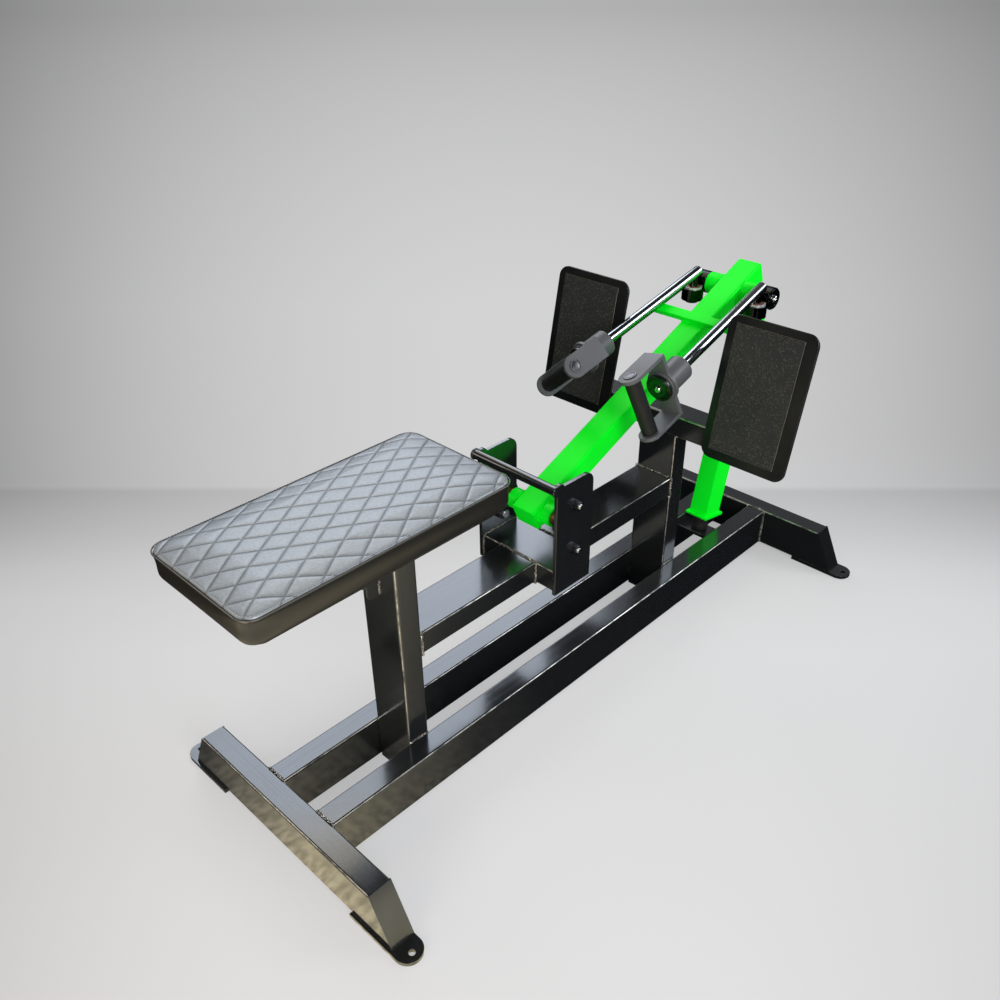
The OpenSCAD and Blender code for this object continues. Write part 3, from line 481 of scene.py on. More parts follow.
vinyl = add(tree, "ShaderNodeMix", {"Factor": on_top, 6: linear("#1f1e1b"), 7: thread.outputs[2]}, data_type="RGBA")
sheen = add(tree, "ShaderNodeMix", {"Factor": on_top, 2: 0.28, 3: 0.40}, data_type="FLOAT")
pearly = add(tree, "ShaderNodeMath", [on_top, 0.42], operation="MULTIPLY")
relief = add(tree, "ShaderNodeMath", [sewn_top, -1.2], operation="MULTIPLY")
relief = add(tree, "ShaderNodeMath", [relief, grain], operation="ADD")
relief = add(tree, "ShaderNodeMath", [relief, crease], operation="ADD")
feel = add(tree, "ShaderNodeBump", {"Strength": 0.45, "Distance": 0.0006, "Height": relief})
cover_shader = add(tree, "ShaderNodeBsdfPrincipled", {
    "Base Color": vinyl.outputs[2], "Roughness": sheen, "Metallic": pearly, "Normal": feel,
})
add(tree, "ShaderNodeOutputMaterial", {"Surface": cover_shader})
cushion.data.materials.clear()
cushion.data.materials.append(quilted_vinyl)
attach(cushion, "base")
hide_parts("seat_cushion")


# Bench seam
# A thin vinyl-covered piping cord is sewn between the top panel and the border,
# with a row of pale topstitches 5 mm inside it.
def seam_line(inset, height):
    """Points round the cushion's edge, in millimetres."""
    points = []
    for turn in range(0, 360, 6):
        angle = math.radians(turn + 3)
        end, edge = (1 if math.cos(angle) > 0 else -1), (1 if math.sin(angle) > 0 else -1)
        radius = seam_corner - inset
        points.append((
            1000 * (bench_mid.x + end * (seam_half.x - seam_corner) + radius * math.cos(angle)),
            1000 * (edge * (seam_half.y - seam_corner) + radius * math.sin(angle)),
            1000 * height,
        ))
    return points + points[:1]


def cord_tree(name, width, material):
    """Sweeps a round cord along a line."""
    group, start = geometry_tree(name, {"Cord width": width})
    half = add(group, "ShaderNodeMath", [start["Cord width"], 0.5], operation="MULTIPLY")
    line = add(group, "GeometryNodeMeshToCurve", {"Mesh": start["Geometry"]})
    ring = add(group, "GeometryNodeCurvePrimitiveCircle", {"Resolution": 8, "Radius": half})
    cord = add(group, "GeometryNodeCurveToMesh", {"Curve": line, "Profile Curve": ring})
    return realized(group, cord, material)


def stitch_tree(name, length, pitch, material):
    """Sets a row of stitches along a line, each turned to the line's direction."""
    group, start = geometry_tree(name, {"Stitch length": length, "Stitch pitch": pitch})
    line = add(group, "GeometryNodeMeshToCurve", {"Mesh": start["Geometry"]})
    steps = add(group, "GeometryNodeCurveToPoints", {"Curve": line, "Length": start["Stitch pitch"]}, mode="LENGTH")
    turned_up = add(group, "FunctionNodeAlignEulerToVector", {"Vector": steps.outputs["Tangent"]}, axis="X")
    loop = add(group, "GeometryNodeMeshUVSphere", {"Segments": 6, "Rings": 4, "Radius": 0.5})
    size = add(group, "ShaderNodeCombineXYZ", {"X": start["Stitch length"], "Y": 0.0011, "Z": 0.0009})
    row = add(group, "GeometryNodeInstanceOnPoints", {
        "Points": steps, "Instance": loop, "Rotation": turned_up, "Scale": size,
    })
    return realized(group, row, material)


# Smooth vinyl pulled over the cord: a thin line that shines along its crest.
piping_vinyl, tree, place = blank("piping_vinyl")
crease = add(tree, "ShaderNodeTexNoise", {"Vector": place, "Scale": 300.0})
tint = add(tree, "ShaderNodeMix", {"Factor": crease, 6: linear("#3b3a36"), 7: linear("#57554e")}, data_type="RGBA")
gloss = add(tree, "ShaderNodeBsdfPrincipled", {"Base Color": tint.outputs[2], "Roughness": 0.22})
add(tree, "ShaderNodeOutputMaterial", {"Surface": gloss})

# Bonded nylon, twisted: pale dull dots along the seam.
nylon_thread, tree, place = blank("bonded_nylon_thread")
twist = add(tree, "ShaderNodeTexWave", {"Vector": place, "Scale": 900.0}).outputs["Fac"]
tint = add(tree, "ShaderNodeMix", {"Factor": twist, 6: linear("#8f9498"), 7: linear("#c4c8ca")}, data_type="RGBA")
gloss = add(tree, "ShaderNodeBsdfPrincipled", {"Base Color": tint.outputs[2]})
add(tree, "ShaderNodeOutputMaterial", {"Surface": gloss})

piping_line, stitch_line = seam_line(0.0004, seam_height), seam_line(0.0052, seam_height + 0.0042)
piping_cord = cord_tree("piping_cord", 0.0026, piping_vinyl)
grown("bench_piping", paths([piping_line]), piping_cord, "base").data.shade_smooth()
topstitch = stitch_tree("topstitch", 0.0036, 0.0052, nylon_thread)
grown("bench_edge_stitches", paths([stitch_line]), topstitch, "base")

# Planed plywood: long warm figure on its faces, and edges painted black.
plywood, tree, place = blank("bare_plywood_with_blackened_edge")
stretched = add(tree, "ShaderNodeMapping", {"Vector": place, "Scale": (6, 90, 90)})
figure = add(tree, "ShaderNodeTexNoise", {"Vector": stretched, "Scale": 1.0, "Detail": 4.0})
tint = add(tree, "ShaderNodeMix", {"Factor": figure, 6: linear("#9a7b54"), 7: linear("#c7a678")}, data_type="RGBA")
upward = add(tree, "ShaderNodeSeparateXYZ", [add(tree, "ShaderNodeTexCoord").outputs["Normal"]]).outputs["Z"]
flat = add(tree, "ShaderNodeMath", [upward], operation="ABSOLUTE")
on_edge = add(tree, "ShaderNodeMath", [flat, 0.7], operation="LESS_THAN")
shown = add(tree, "ShaderNodeMix", {"Factor": on_edge, 6: tint.outputs[2], 7: linear("#151413")}, data_type="RGBA")
wood = add(tree, "ShaderNodeBsdfPrincipled", {"Base Color": shown.outputs[2], "Roughness": 0.7})
add(tree, "ShaderNodeOutputMaterial", {"Surface": wood})
dress(plywood, "seat_board")


# Seat mounting
# The plywood board lies on a steel plate on top of the post, held by four zinc-plated screws from
# below, and a gusset carries the overhang. Cut and drilled edges of all the base's steel are broken.
def flattened(piece):
    """Shades a piece smoothly round its small radii and flat across its large faces."""
    piece.data.shade_smooth()
    piece.data.set_sharp_from_angle(angle=math.radians(50))
    given(piece.modifiers.new("weighted", "WEIGHTED_NORMAL"), keep_sharp=True)
    settled(piece)


# Pale metal in broken patches along the tube corners: a painted highlight line.
painted_corner_highlight = patchy(
    "pale_corner_line_painted_highlight", {"Scale": 24.0, "Detail": 5.0, "Roughness": 0.7},
    (0.40, "#5a5c5d"), (0.56, "#c9c8c2"), 0.75, 0.30)


def joined_copy(node):
    """The CAD node's mesh with the triangles of each flat face joined into one face."""
    made = merged_copy(node)
    bmesh.ops.dissolve_limit(
        made, angle_limit=math.radians(0.5), verts=made.verts, edges=made.edges, use_dissolve_boundaries=False)
    return made


def smoothed(node, material, body):
    """A copy of a CAD tube with smooth corners, with a broken pale metal line along the crest as a painted highlight.
    """
    flat_enough, crest_from = 0.1, 33
    made = joined_copy(node)
    for face in made.faces:
        least, middle, most = sorted(abs(part) for part in face.normal)
        # Faces on the rounded corners take the second material, the painted highlight line.
        face.material_index = int(least < flat_enough and math.degrees(math.atan2(middle, most)) > crest_from)
    piece = keep(node + "_finish", made, material, body, (node,), smooth=False)
    piece.data.materials.append(painted_corner_highlight)
    flattened(piece)


def softened(node, width, material, body, cuts=2):
    """A copy of a CAD node with its sharp edges broken, so that they catch the light."""
    piece = keep(node + "_finish", joined_copy(node), material, body, (node,), smooth=False)
    given(
        piece.modifiers.new("broken_edges", "BEVEL"), width=width, segments=cuts, limit_method="ANGLE",
        angle_limit=math.radians(32), use_clamp_overlap=True,
    )
    settled(piece)
    flattened(piece)


def coated(name, dark, light, roughness, spread, clouds, relief, shader):
    """A surface that is cloudy in colour and gloss, over a fine relief. The clouds have a scale
    and a detail, the relief has a scale, a detail, a strength and a height."""
    made, tree, place = blank(name)
    cloud = add(tree, "ShaderNodeTexNoise", {"Vector": place, "Scale": clouds[0], "Detail": clouds[1]})
    grain = add(tree, "ShaderNodeTexNoise", {"Vector": place, "Scale": relief[0], "Detail": relief[1]})
    tint = add(tree, "ShaderNodeMix", {"Factor": cloud, 6: linear(dark), 7: linear(light)}, data_type="RGBA")
    least, most = (roughness * share for share in spread)
    rough = add(tree, "ShaderNodeMapRange", [cloud, 0.3, 0.7, least, most])
    feel = add(tree, "ShaderNodeBump", {"Strength": relief[2], "Distance": relief[3], "Height": grain})
    skin = add(tree, "ShaderNodeBsdfPrincipled", {
        "Base Color": tint.outputs[2], "Roughness": rough, "Normal": feel, **shader,
    })
    add(tree, "ShaderNodeOutputMaterial", {"Surface": skin})
    return made


def plated(name, dark, light, roughness, scale):
    """Bright metal plating with faint cloudiness and fine handling marks."""
    marks = (scale * 14, 2.0, 0.08, 0.0002)
    return coated(name, dark, light, roughness, (0.7, 1.3), (scale, 5.0), marks, {"Metallic": 1.0})


def moulded(name, dark, light, roughness, scale, bump, specular=0.5):
    """A coloured coat, cast skin or plastic with fine relief and slight colour variation."""
    grain = (scale, 3.0, bump, 0.0004)
    return coated(name, dark, light, roughness, (0.85, 1.2), (14.0, 5.0), grain, {"Specular IOR Level": specular})


# Zinc plating on the screws: a cool grey glint, slightly cloudy.
zinc = plated("zinc_plated_steel", "#8d9196", "#c9ccce", 0.30, 60.0)
for material, nodes in (
    (lengthwise, ("left_rail", "right_rail", "front_beam", "rear_beam")),
    (crosswise, ("front_cross_member", "rear_cross_member", "cross_box", "foot_crossbar")),
    (upright, ("seat_post", "mid_post")),
):
    for node in nodes:
        smoothed(node, material, "base")
for node, width, material in (
    ("seat_mount_plate", 0.0008, lengthwise), ("seat_gusset", 0.0008, upright), ("seat_bolts", 0.0010, zinc),
    ("floor_plates", 0.0010, upright), ("left_pivot_plate", 0.0010, upright), ("right_pivot_plate", 0.0010, upright),
    ("bumper_bracket", 0.0008, crosswise), ("foot_plate_ribs", 0.0008, upright),
):
    softened(node, width, material, "base")


# Stop rod
# A glossy lacquered rod between the two pivot plates, with a pressed collar outside each plate.
# The collars and the rod are turned parts, so every edge is eased.
def facing(point, towards):
    """A frame at a point in millimetres whose Z axis points a given way."""
    return Matrix.Translation(Vector(point) / 1000) @ Vector(towards).to_track_quat("Z", "Y").to_matrix().to_4x4()


def eased(points, radius, cuts=3):
    """A lathe profile with each of its corners rounded."""
    smooth = [points[0]]
    for before, corner, after in zip(points, points[1:], points[2:]):
        middle = Vector(corner[:2])
        back, on = Vector(before[:2]) - middle, Vector(after[:2]) - middle
        reach = min(radius, back.length / 2.1, on.length / 2.1)
        start, end = middle + back.normalized() * reach, middle + on.normalized() * reach
        for step in range(cuts + 1):
            part = step / cuts
            spot = start.lerp(middle, part).lerp(middle.lerp(end, part), part)
            smooth.append((spot.x, spot.y, *corner[2:]))
    return smooth + [points[-1]]


def turned(made, place, profile, steps=48):
    """Adds a form turned on a lathe. The profile lists (along, radius) in millimetres,
    and a third value of 6 makes that ring a hexagon with the radius to its corners."""
    rings = []
    for along, radius, *sides in profile:
        ring = []
        for step in range(steps if radius > 0.01 else 1):
            angle = 2 * math.pi * step / steps
            reach = radius
            if sides:
                reach *= math.cos(math.pi / 6) / math.cos(angle % (math.pi / 3) - math.pi / 6)
            spot = Vector((reach * math.cos(angle), reach * math.sin(angle), along))
            ring.append(made.verts.new(place @ (spot / 1000)))
        rings.append(ring if len(ring) > 1 else ring * steps)
    for first, second in zip(rings, rings[1:]):
        for step in range(steps):
            after = (step + 1) % steps
            made.faces.new(dict.fromkeys((first[step], first[after], second[after], second[step])))


def lathed(name, form, material, body, replaces=(), degrees=38):
    """Finishes a turned piece: crisp edges, and smooth shading between them."""
    piece = keep(name, form, material, body, replaces)
    piece.data.set_sharp_from_angle(angle=math.radians(degrees))


rod_low, rod_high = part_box("stop_rod")
rod_mid = (rod_low + rod_high) / 2 * 1000
rod_half = 500 * (rod_high - rod_low).y
rod_form = bmesh.new()
collar, length = 4, 2 * rod_half
turned(rod_form, facing((rod_mid.x, -rod_half, rod_mid.z), (0, 1, 0)), eased([
    (0, 0), (0, 12), (collar, 12), (collar, 10),
    (length - collar, 10), (length - collar, 12), (length, 12), (length, 0),
], 1.2))
lathed("stop_rod_turned", rod_form, crosswise, "base", ("stop_rod",))


# Foot plates
# Flat black steel plates with rounded corners, leaning back, each with a sheet of coarse safety grit
# bonded to its face. The grit is dark grey-brown with scattered tan grains, and a lighter line on the sheet's edge is
# a painted highlight.
# Semi-gloss paint on flat plate: an even, almost black face with a broad soft highlight.
plate_black = moulded("black_semi_gloss_plate_paint", "#05090a", "#0b1012", 0.30, 700.0, 0.08)
for side in ("left", "right"):
    softened(side + "_foot_plate", 0.0014, plate_black, "base", cuts=3)

# Mineral grit in resin: dull and sparkling at once. Real grains are under 1 mm; these are drawn at 2.4 mm
# to show, and the loose ones on top at 0.6 to 1.6 mm.
grit, tree, place = blank("bonded_safety_grit")
grains = add(tree, "ShaderNodeTexVoronoi", {"Vector": place, "Scale": 420.0})
pick = add(tree, "ShaderNodeSeparateColor", [grains.outputs["Color"]])
wear = add(tree, "ShaderNodeTexNoise", {"Vector": place, "Scale": 22.0, "Detail": 5.0})
tan = add(tree, "ShaderNodeMath", [pick, 0.90], operation="GREATER_THAN")
base = add(tree, "ShaderNodeMix", {"Factor": wear, 6: linear("#1d2120"), 7: linear("#2d302f")}, data_type="RGBA")
mixed = add(tree, "ShaderNodeMix", {"Factor": tan, 6: base.outputs[2], 7: linear("#454239")}, data_type="RGBA")
outward = max(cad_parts["left_grip_sheet"].data.polygons, key=lambda face: face.area).normal
lean = add(tree, "ShaderNodeVectorMath", [add(tree, "ShaderNodeTexCoord").outputs["Normal"], tuple(outward)],
           operation="DOT_PRODUCT")
flat = add(tree, "ShaderNodeMath", [lean.outputs["Value"]], operation="ABSOLUTE")
# The sheet's edge faces are painted lighter: a painted highlight along its edge.
on_edge = add(tree, "ShaderNodeMath", [flat, 0.5], operation="LESS_THAN")
edge_highlight_tone = add(tree, "ShaderNodeMix", {"Factor": on_edge, 6: mixed.outputs[2], 7: linear("#8c8674")}, data_type="RGBA")
rise = add(tree, "ShaderNodeBump", {"Strength": 0.9, "Distance": 0.0012, "Height": grains.outputs["Distance"]})
stone = add(tree, "ShaderNodeBsdfPrincipled", {
    "Base Color": edge_highlight_tone.outputs[2], "Roughness": 0.72, "Specular IOR Level": 0.35, "Normal": rise,
})
add(tree, "ShaderNodeOutputMaterial", {"Surface": stone})


def grain_tree(name, count, material):
    """Scatters loose-looking grains that stand up from the face of the sheet."""
    group, start = geometry_tree(name, {"Grains per square metre": count})
    spots = add(group, "GeometryNodeDistributePointsOnFaces", {
        "Mesh": start["Geometry"], "Density": start["Grains per square metre"], "Seed": 3,
    })
    stone = add(group, "GeometryNodeMeshIcoSphere", {"Radius": 0.5, "Subdivisions": 1})
    smallest, largest = (0.0006, 0.0006, 0.0005), (0.0016, 0.0016, 0.0011)
    size = add(group, "FunctionNodeRandomValue", {0: smallest, 1: largest, "Seed": 5}, data_type="FLOAT_VECTOR")
    turn = add(group, "FunctionNodeRandomValue", {**any_turn, "Seed": 8}, data_type="FLOAT_VECTOR")
    row = add(group, "GeometryNodeInstanceOnPoints", {
        "Points": spots, "Instance": stone, "Rotation": turn, "Scale": size,
    })
    return realized(group, row, material)


loose_grain, tree, place = blank("tan_and_grey_grains")
kinds = add(tree, "ShaderNodeTexVoronoi", {"Vector": place, "Scale": 260.0})
pick = add(tree, "ShaderNodeSeparateColor", [kinds.outputs["Color"]])
hue = add(tree, "ShaderNodeValToRGB", [pick], stops=((0.0, "#1d1c1b"), (1.0, "#665f50")))
stone = add(tree, "ShaderNodeBsdfPrincipled", {"Base Color": hue, "Roughness": 0.6})
add(tree, "ShaderNodeOutputMaterial", {"Surface": stone})

grain_group = grain_tree("scattered_grains", 26000.0, loose_grain)
for side in ("left", "right"):
    node = side + "_grip_sheet"
    dress(grit, node)
    faces = merged_copy(node)
    other_sides = [face for face in faces.faces if face.normal.x > -0.9]
    bmesh.ops.delete(faces, geom=other_sides, context="FACES")
    surface = as_mesh(side + "_sheet_face", faces)
    grown(side + "_sheet_grains", surface, grain_group, "base")


# Pivot hardware
# Black cast two-bolt bearing housings on the inner faces of the pivot plates, each held by two plated
# bolts whose dark nuts, washers and bright stud ends show outside. The bronze for the spacers on the
# shaft also lines the housings of the handle pins, there in a ring of bright steel.
pivot_x, pivot_z, bolt_reach = -88.3, 448, 51.5
pin_x, pin_y, bush_radius = 546.43, 84, 0.0172
# Painted casting: a dull black skin with a sandy relief of about 4 mm.
cast_black = moulded("black_cast_housing", "#0c0d0e", "#1a1c1d", 0.42, 260.0, 0.35)
dress(cast_black, "left_pivot_bearing", "right_pivot_bearing")
stud_form, nut_form = bmesh.new(), bmesh.new()
for side in (-1, 1):
    for height in (pivot_z - bolt_reach, pivot_z + bolt_reach):
        place = facing((pivot_x, side * 88, height), (0, side, 0))
        turned(stud_form, place, [(-8, 0), (-8, 8.0), (-7.0, 10, 6), (0, 10, 6), (0, 6), (31.8, 6)] + [
            (32 + 0.5 * k, 5.2 + 0.6 * (k % 2)) for k in range(7)
        ] + [(35.6, 4.6), (36, 3.8), (36, 0)])
        turned(nut_form, place, [
            (20, 6.1), (20, 10.6), (20.3, 11), (21.7, 11), (22, 10.6), (22, 8.4), (22.5, 9.8, 6), (31.2, 10, 6),
            (32, 8.2), (32, 6.1), (20, 6.1),
        ])
# Dark oxide on the nuts: grey-black with a blunt gloss.
dark_oxide = plated("dark_oxide_steel", "#3a3b3d", "#5a5b5d", 0.30, 60.0)
lathed("pivot_bolt_studs", stud_form, zinc, "base", ("pivot_bolts",), 30)
lathed("pivot_bolt_nuts", nut_form, dark_oxide, "base", degrees=30)

# Sintered bronze is brown and slightly dull, ground steel is bright and almost smooth.
bronze = plated("sintered_bronze", "#8d5a3a", "#c28a63", 0.34, 80.0)
steel_bright = plated("ground_shaft_steel", "#8f9295", "#bfc2c4", 0.20, 90.0)
bush_look, tree, place = blank("bronze_bush_in_bright_steel_ring")
axes = add(tree, "ShaderNodeSeparateXYZ", [place]).outputs
along_x = add(tree, "ShaderNodeMath", [axes["X"], pin_x / 1000], operation="SUBTRACT")
to_side = add(tree, "ShaderNodeMath", [axes["Y"]], operation="ABSOLUTE")
to_side = add(tree, "ShaderNodeMath", [to_side, pin_y / 1000], operation="SUBTRACT")
around = add(tree, "ShaderNodeCombineXYZ", [along_x, to_side])
radius = add(tree, "ShaderNodeVectorMath", [around], operation="LENGTH").outputs["Value"]
outer = add(tree, "ShaderNodeMath", [radius, bush_radius], operation="GREATER_THAN")
wear = add(tree, "ShaderNodeTexNoise", {"Vector": place, "Scale": 220.0, "Detail": 4.0})
copper = add(tree, "ShaderNodeMix", {"Factor": wear, 6: linear("#8a4a2c"), 7: linear("#d09270")}, data_type="RGBA")
tint = add(tree, "ShaderNodeMix", {"Factor": outer, 6: copper.outputs[2], 7: linear("#d8dadc")}, data_type="RGBA")
metal = add(tree, "ShaderNodeBsdfPrincipled", {"Base Color": tint.outputs[2], "Metallic": 0.6, "Roughness": 0.34})
add(tree, "ShaderNodeOutputMaterial", {"Surface": metal})
for side in ("left", "right"):
    softened(side + "_pin_bush", 0.0010, bush_look, side + "_knuckle", cuts=3)
dress(bronze, "shaft_spacers")
dress(steel_bright, "pivot_shaft", "handle_axle")


# Bumper
# A black rubber cylinder on a tilted bracket between the rails. It bulges slightly where it is
# pressed, and one screw from below holds it.
# Moulded rubber: a matt grey-black that takes hardly any highlight.
rubber = moulded("black_moulded_rubber", "#101010", "#191918", 0.62, 350.0, 0.3, 0.35)
strut_lean = math.radians(11.3)
strut_axis = Vector((math.sin(strut_lean), 0, math.cos(strut_lean)))
bumper_low, bumper_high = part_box("rubber_bumper")
bumper_mid = (bumper_low + bumper_high) * 500
bumper_form = bmesh.new()
turned(bumper_form, facing(bumper_mid - strut_axis * 20, strut_axis), eased([
    (0, 0), (0, 19.8), (3, 20.6), (12, 21.0), (16, 20.2), (24, 20.2), (28, 21.0), (37, 20.6), (40, 19.8), (40, 0),
], 2.0))
lathed("rubber_bumper_turned", bumper_form, rubber, "base", ("rubber_bumper",))
softened("bumper_screw", 0.0008, zinc, "base")


# Lever arm
# A rectangular tube on the pivot with a bent strut under its upper end, finished in a bright green
# lacquer with slight orange peel. All its joints are welded and the beads are lacquered over.
def green(name, roughness, scale, bump):
    """Green lacquer: one strong flat colour under a gloss that wavers with the orange peel."""
    peel = (scale, 2.0, bump, 0.0003)
    return coated(name, "#00f41c", "#00ff2a", roughness, (0.8, 1.2), (7.0, 4.0), peel, {"Specular IOR Level": 0.10})


green_lacquer = green("bright_green_lacquer", 0.32, 420.0, 0.12)
green_bead = green("lacquered_weld_bead", 0.26, 300.0, 0.30)
dress(green_lacquer, "arm_tube")
for node, width in (
    ("arm_caps", 0.0012), ("pivot_bosses", 0.0012), ("handle_bosses", 0.0014),
    ("stop_bar", 0.0014), ("strut", 0.0040), ("strut_foot", 0.0012),
):
    softened(node, width, green_lacquer, "lever", cuts=3)

arm_rise = math.radians(23)
arm = Matrix.Translation((pivot_x / 1000, 0, pivot_z / 1000)) @ Matrix.Rotation(-arm_rise, 4, "Y")


def arm_point(s, y, z):
    """A point given along, across and above the arm, in millimetres."""
    return tuple(arm @ (Vector((s, y, z)) / 1000) * 1000)


def boss_weld(s, radius, side):
    """Weld round a boss where it meets the side of the arm; its ends stay below the arm's corners."""
    turns = [math.radians(t) for t in range(0, 361, 12)]
    return [arm_point(s + radius * math.cos(t), side * 31, max(-24, min(24, radius * math.sin(t)))) for t in turns]


lever_welds = []
for side in (-1, 1):
    lever_welds += [boss_weld(0, 23, side), boss_weld(733, 24, side)]
    for edge in (571, 595):
        lever_welds.append([arm_point(edge, 0, 25.4), arm_point(edge, side * 27, 25.4)])
strut_spot = Vector((574.7, 0, 131.5))
strut_side = Vector((strut_axis.z, 0, -strut_axis.x))
lever_welds.append([
    strut_spot + strut_side * a * 34 + Vector((0, b * 26, 0)) + strut_axis
    for a, b in ((-1, -1), (1, -1), (1, 1), (-1, 1), (-1, -1))
])
lever_bead = bead_tree("lever_bead", 0.0052, 0.0026, green_bead)
grown("lever_weld_beads", paths(lever_welds), lever_bead, "lever")


# Weight horn
# A thick-walled chrome tube on the rear of the strut that takes plates with a 50 mm hole, with a
# welded collar to stop them and a plastic cap in its open end.
# Hard chrome: a mirror that is only faintly cloudy.
chrome = plated("hard_chrome", "#dfe3e6", "#f4f6f7", 0.07, 30.0)
softened("weight_horn", 0.0010, chrome, "lever")
softened("horn_collar", 0.0012, crosswise, "lever")
# Moulded polyethylene: a dull black skin.
cap_plastic = moulded("ribbed_cap_plastic", "#101112", "#1b1c1d", 0.45, 500.0, 0.15)
softened("horn_cap", 0.0016, cap_plastic, "lever", cuts=3)


# Handle axle and knuckles
# A steel axle through the top of the arm carries a black knuckle on each side: a sleeve that turns on
# the axle, welded to the upright housing of the handle pin. A disc and a button-head bolt close it.
# Black nickel: dark, with hard bright highlights along its curves.
knuckle_black = plated("black_nickel_knuckle", "#2c2e31", "#3c3f43", 0.16, 40.0)
for side in ("left", "right"):
    softened(side + "_knuckle", 0.0012, knuckle_black, side + "_knuckle")


def dome(start, rim, height, drop):
    """Profile of a button head: it rises by height while its radius shrinks by drop."""
    return [(start + height * math.sin(t), rim - drop * (1 - math.cos(t))) for t in (0.4, 0.8, 1.2, 1.57)]


axle_spot = Vector((586.43, 0, 734.41))
cap_form, button_form = bmesh.new(), bmesh.new()
for side in (-1, 1):
    place = facing(axle_spot + Vector((0, side * 102.3, 0)), (0, side, 0))
    turned(cap_form, place, eased([
        (0, 5.2), (0, 23), (3, 23), (3, 17), (2.5, 16.4), (2.5, 11), (3, 10.4), (3, 5.2), (0, 5.2),
    ], 0.7))
    turned(button_form, place, [
        (0.1, 0), (0.1, 5), (3, 5), (3, 8.6), (3.6, 9), *dome(3.6, 9, 4.4, 3.6),
        (8, 3.9), (7.8, 3.5, 6), (5.6, 3.4, 6), (5.2, 0),
    ])
lathed("axle_cap_discs", cap_form, knuckle_black, "lever", ("axle_caps",))
lathed("axle_button_bolts", button_form, chrome, "lever", ("axle_cap_bolts",))


# Handles
# Each chrome bar ends in a swivelling stirrup of bent grey steel plate with a grip between its ears.
# A black disc and a button-head bolt hold the stirrup, and round plugs close the ends of the grip rod.
# Hard chrome on ground bar, dulled by hands: a mirror under a thin haze.
chrome_bar, tree, place = blank("hard_chrome_bar")
haze = add(tree, "ShaderNodeTexNoise", {"Vector": place, "Scale": 18.0, "Detail": 6.0})
rough = add(tree, "ShaderNodeMapRange", [haze, 0.35, 0.7, 0.10, 0.18])
grind = add(tree, "ShaderNodeTexNoise", {"Vector": place, "Scale": 900.0})
feel = add(tree, "ShaderNodeBump", {"Strength": 0.03, "Distance": 0.0001, "Height": grind})
shine = add(tree, "ShaderNodeBsdfPrincipled", {
    "Base Color": linear("#a6aaad"), "Metallic": 1.0, "Roughness": rough, "Normal": feel,
})
add(tree, "ShaderNodeOutputMaterial", {"Surface": shine})
bar_dip, bar_end, bars = -16.4, (-388, 0, 0), {}
for side, sign, yaw in (("left", 1, 4.4), ("right", -1, 1.7)):
    bar = Matrix.Translation((0.55673, sign * pin_y / 1000, 0.76201))
    bar @= Matrix.Rotation(math.radians(-sign * yaw), 4, "Z") @ Matrix.Rotation(math.radians(bar_dip), 4, "Y")
    bars[side] = bar
    bar_form, pin_form = bmesh.new(), bmesh.new()
    turned(bar_form, bar @ facing(bar_end, (1, 0, 0)), eased([
        (0, 0), (0, 12.5), (73.3, 12.5), (73.3, 17), (77.3, 17), (77.3, 12.5), (394, 12.5), (394, 0),
    ], 0.9), 64)
    turned(pin_form, facing((pin_x, sign * pin_y, 694.7), (0, 0, 1)), eased([
        (0, 0), (0, 15), (6, 15), (6, 10), (66, 10), (66, 0),
    ], 0.8))
    tube = side + "_handle_bar"
    lathed(tube + "_turned", bar_form, chrome_bar, side + "_bar", (tube,))
    lathed(side + "_handle_pin", pin_form, knuckle_black, side + "_bar")

# Satin coat gives the stirrups an even mid grey, the plugs are brushed grey metal, and anodising makes
# the end discs glossy black round a rim that is worn brown.
handle_grey = moulded("satin_grey_handle_coat", "#4b4d50", "#5a5c5f", 0.40, 520.0, 0.15)
plug_grey = plated("satin_plug_metal", "#5d5e60", "#7b7c7e", 0.38, 50.0)
disc_black = moulded("black_anodised_disc", "#06120a", "#0c1a10", 0.22, 260.0, 0.1)
worn_ring = plated("worn_brown_rim", "#3a2c20", "#6b543e", 0.30, 120.0)
# Moulded grip rubber: dark, dull and pored.
grip_rubber, tree, place = blank("ribbed_charcoal_grip_rubber")
pores = add(tree, "ShaderNodeTexVoronoi", {"Vector": place, "Scale": 620.0})
cloud = add(tree, "ShaderNodeTexNoise", {"Vector": place, "Scale": 16.0, "Detail": 4.0})
tint = add(tree, "ShaderNodeMix", {"Factor": cloud, 6: linear("#0c0e0d"), 7: linear("#171918")}, data_type="RGBA")
feel = add(tree, "ShaderNodeBump", {"Strength": 0.35, "Distance": 0.0004, "Height": pores.outputs["Distance"]})
skin = add(tree, "ShaderNodeBsdfPrincipled", {
    "Base Color": tint.outputs[2], "Roughness": 0.55, "Specular IOR Level": 0.4, "Normal": feel,
})
add(tree, "ShaderNodeOutputMaterial", {"Surface": skin})

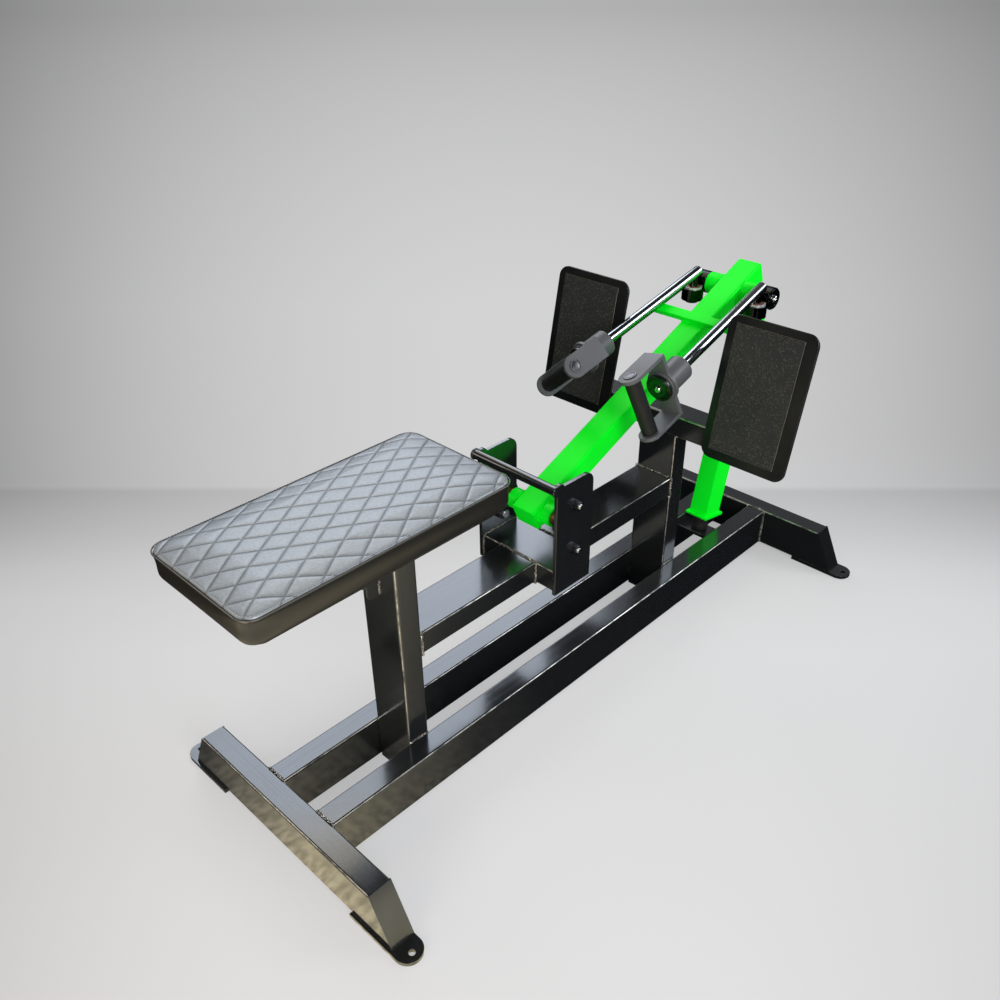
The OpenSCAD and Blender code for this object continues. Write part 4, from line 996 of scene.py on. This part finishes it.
for side, roll in (("left", 50), ("right", -14)):
    hub = bars[side] @ Matrix.Rotation(math.radians(roll), 4, "X")
    softened(side + "_stirrup", 0.0011, handle_grey, side + "_handle", cuts=3)

    disc_form, ring_form, bolt_form = bmesh.new(), bmesh.new(), bmesh.new()
    place = bars[side] @ facing(bar_end, (-1, 0, 0))
    turned(disc_form, place, eased([
        (0, 0), (0, 29), (1, 30), (6.6, 30), (7.6, 28.8), (7.6, 26.6), (7, 26.2), (7, 24.6), (7.8, 24),
        (8, 12), (7.5, 11.6), (7.5, 9.6), (8, 9.2), (8, 0),
    ], 0.5))
    turned(ring_form, place, [(6.9, 26.3), (7.4, 26.2), (7.4, 24.7), (6.9, 24.6), (6.9, 26.3)])
    turned(bolt_form, place, [
        (-25, 0), (-25, 4.6), (-24, 5), (7.9, 5), (7.9, 7.3), (8.4, 7.5), *dome(8.4, 7.5, 3.6, 2.8),
        (12, 3.4), (11.8, 3.0, 6), (9.6, 2.9, 6), (9.3, 0),
    ])
    disc = side + "_end_disc"
    lathed(disc + "_turned", disc_form, disc_black, side + "_bar", (disc,))
    lathed(disc + "_rim", ring_form, worn_ring, side + "_bar")
    lathed(side + "_end_bolt", bolt_form, chrome, side + "_bar")

    rod_form, grip_form = bmesh.new(), bmesh.new()
    across = hub @ Matrix.Translation((-0.456, 0, 0))
    plug = [
        (72.5, 8), (72.5, 12.9), (73.1, 13.5), (74, 13.5), (74.5, 12.9), (74.5, 10.8), (73.4, 10.2),
        (73.4, 9.2), (74.3, 8.6), (74.7, 6), (74.9, 3), (75, 0),
    ]
    turned(rod_form, across, [(-a, r) for a, r in plug[::-1]] + plug)
    turned(grip_form, across, eased([
        (-64.2, 8.1), (-64.2, 16.2), (-61, 16.5), (0, 16.6), (61, 16.5), (64.2, 16.2), (64.2, 8.1), (-64.2, 8.1),
    ], 1.4))
    lathed(side + "_grip_rod_turned", rod_form, plug_grey, side + "_handle", (side + "_grip_rod",))
    lathed(side + "_grip_turned", grip_form, grip_rubber, side + "_grip", (side + "_grip",))
